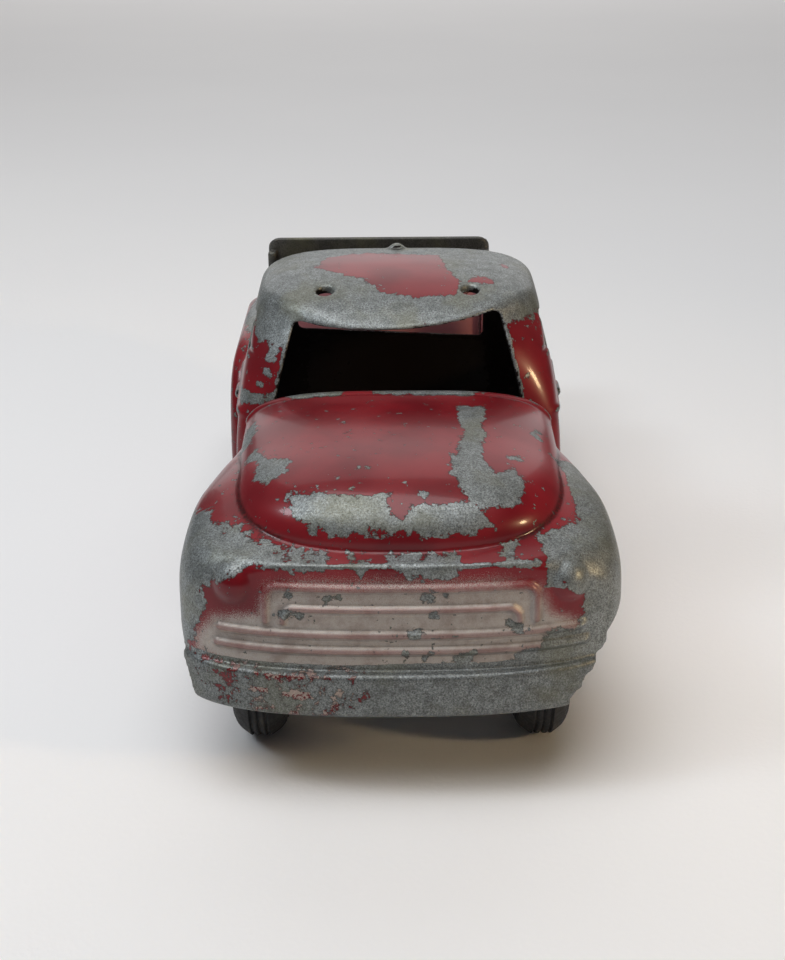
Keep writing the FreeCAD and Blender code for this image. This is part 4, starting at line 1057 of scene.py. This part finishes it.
def studio():
    """The camera, floor, lamps and sky."""
    scene = bpy.context.scene
    camera = in_scene("camera", bpy.data.cameras.new("camera"))
    camera.data.sensor_width = SENSOR
    camera.data.lens = LENS
    camera.data.clip_start = 0.01
    camera.location = Vector(CAMERA_PLACE) * MM
    camera.rotation_mode = "ZYX"
    tilt, turn = math.radians(90 - CAMERA_DOWN), math.radians(CAMERA_TURN)
    camera.rotation_euler = Euler((tilt, 0.0, turn), "ZYX")
    scene.camera = camera

    corners = [(x * FLOOR_HALF, y * FLOOR_HALF, 0) for x, y in ((-1, -1), (1, -1), (1, 1), (-1, 1))]
    mesh = bpy.data.meshes.new("floor")
    mesh.from_pydata(corners, [], [(0, 1, 2, 3)])
    floor = in_scene("floor", mesh)
    floor.data.materials.append(floor_cloth())

    for values in LAMPS:
        lamp(*values)
    world = bpy.data.worlds.new("world")
    world.use_nodes = True
    sky = world.node_tree.nodes["Background"].inputs
    sky["Color"].default_value = SKY
    sky["Strength"].default_value = SKY_STRENGTH
    scene.world = world
    scene.view_settings.view_transform = "Standard"


# ---- The pieces ----
FACE = 11.5  # the grille and bumper lie ahead of this depth
FACE_SHARE, BUMPER_SHADE = 0.12, 0.3  # share of the crease darkening left in the grille, and painted shade all over the bumper's face


def unshaded(verts):
    return 0.0


def moulded(name, node, body, field, wear, material, extras=(), step=GRID, reach=0.8,
            heart=(0, 0, 0), shade=unshaded):
    """Casts a field as a piece that stands for a CAD node, and marks its wear, the darkening in its
    creases and its painted shade.

    Surfaces that face the heart are the casting's inside, which gets painted shade as dark as shade
    gives.
    """
    low, high = box_mm(node)
    p = grid_over(low, high, step)
    f = field(p)
    verts, faces = surface(f, p, step)
    verts, normals = settle(f, p, verts, step)
    roundness = bulge(f, p, verts, reach, step)
    obj = mesh_object(name, verts, faces, normals)
    attribute(obj, "wear", wear(verts, normals, roundness))
    inward = np.sum(normals * (verts - heart), axis=1) < 0
    ahead = verts[:, 1] < FACE
    # Darker in creases; painted shade over the bumper's face and, through shade, on the casting's
    # insides
    grime_and_shade = np.clip(-roundness * 1.5 - 0.15, 0, 0.85) * np.where(ahead, FACE_SHARE, 1.0)
    grime_and_shade = np.maximum(grime_and_shade, BUMPER_SHADE * (ahead & (verts[:, 2] < BUMPER_TOP)))
    attribute(obj, "hollow", np.maximum(grime_and_shade, inward * shade(verts)))
    for layer, values in extras:
        attribute(obj, layer, values(verts, normals))
    obj.data.materials.append(material)
    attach(obj, body)
    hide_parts(node)


def on_ribs(verts, normals):
    """1 on the grille's raised lines, where the silver has rubbed thin."""
    _, depth, z = verts.T
    return np.where((depth < GRILLE_BACK) & (z > 27), ridge(grille_line(verts.T), 0.75), 0)


# Painted shade: how dark each casting's inside is painted
def front_shade(verts):
    return np.where(verts[:, 1] > 14, 0.85, 0.3 * (verts[:, 2] < 25))


def cab_shade(verts):
    return 2.4 * (verts[:, 1] > 62)


def rear_shade(verts):
    return 0.85 * (verts[:, 2] < 45)


def build():
    """Makes every piece and every material."""
    red = enamel("chipped_red_enamel",
                 (0.13, 0.004, 0.008), (0.20, 0.009, 0.014), (0.30, 0.085, 0.085))
    # The bed's last colour, a pale pink, is painted light for the headboard's face
    bed = enamel("worn_bed_enamel", (0.10, 0.004, 0.008), (0.16, 0.008, 0.012), (0.28, 0.07, 0.075),
                 (0.045, 0.045, 0.042), (0.13, 0.125, 0.115), (0.80, 0.33, 0.35))
    hub = enamel("hub_enamel", (0.13, 0.005, 0.008), (0.19, 0.009, 0.013), (0.25, 0.05, 0.05))
    rods = steel("dull_steel", (0.12, 0.12, 0.115), (0.42, 0.42, 0.41), (0.13, 0.06, 0.025),
                 (1, 0.2, 0.2))
    plate = steel("pressed_steel", (0.10, 0.10, 0.095), (0.30, 0.295, 0.28), (0.12, 0.055, 0.022))
    rivet = steel("rivet_metal", (0.22, 0.21, 0.19), (0.55, 0.53, 0.49), (0.10, 0.05, 0.025))
    tyres = rubber()

    on_front = (("spray", front_spray), ("rib", on_ribs), ("cream", front_cream))
    moulded("front_body", "front_casting", "chassis", front_field, front_wear, red,
            on_front, heart=(0, 38, 34), shade=front_shade)
    moulded("cab_shell", "cab_casting", "chassis", cab_field, cab_wear, red,
            heart=(0, 84, 52), shade=cab_shade)
    moulded("rear_body", "rear_casting", "chassis", rear_field, rear_wear, red,
            step=0.6, heart=(-2, 139, 20), shade=rear_shade)
    moulded("bed_shell", "dump_bed", "bed", bed_field, bed_wear, bed,
            (("cream", headboard_painted_light),), reach=0.5)
    moulded("gate_panel", "tailgate", "gate", gate_field, bed_wear, bed, reach=0.5)
    for end in ("front", "rear"):
        for side in ("left", "right"):
            wheel(end, side, hub, tyres)
    finishes = {
        rods: ("front_axle", "rear_axle", "tailgate_pin", "bed_pivot_pin"),
        plate: ("base_plate", "left_hinge_bracket", "right_hinge_bracket"),
        rivet: ("base_rivets", "cab_rivets", "front_axle_caps", "rear_axle_caps", "bracket_rivets"),
    }
    for material, nodes in finishes.items():
        for node in nodes:
            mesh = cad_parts[node].data
            mesh.materials.clear()
            mesh.materials.append(material)


build()
studio()
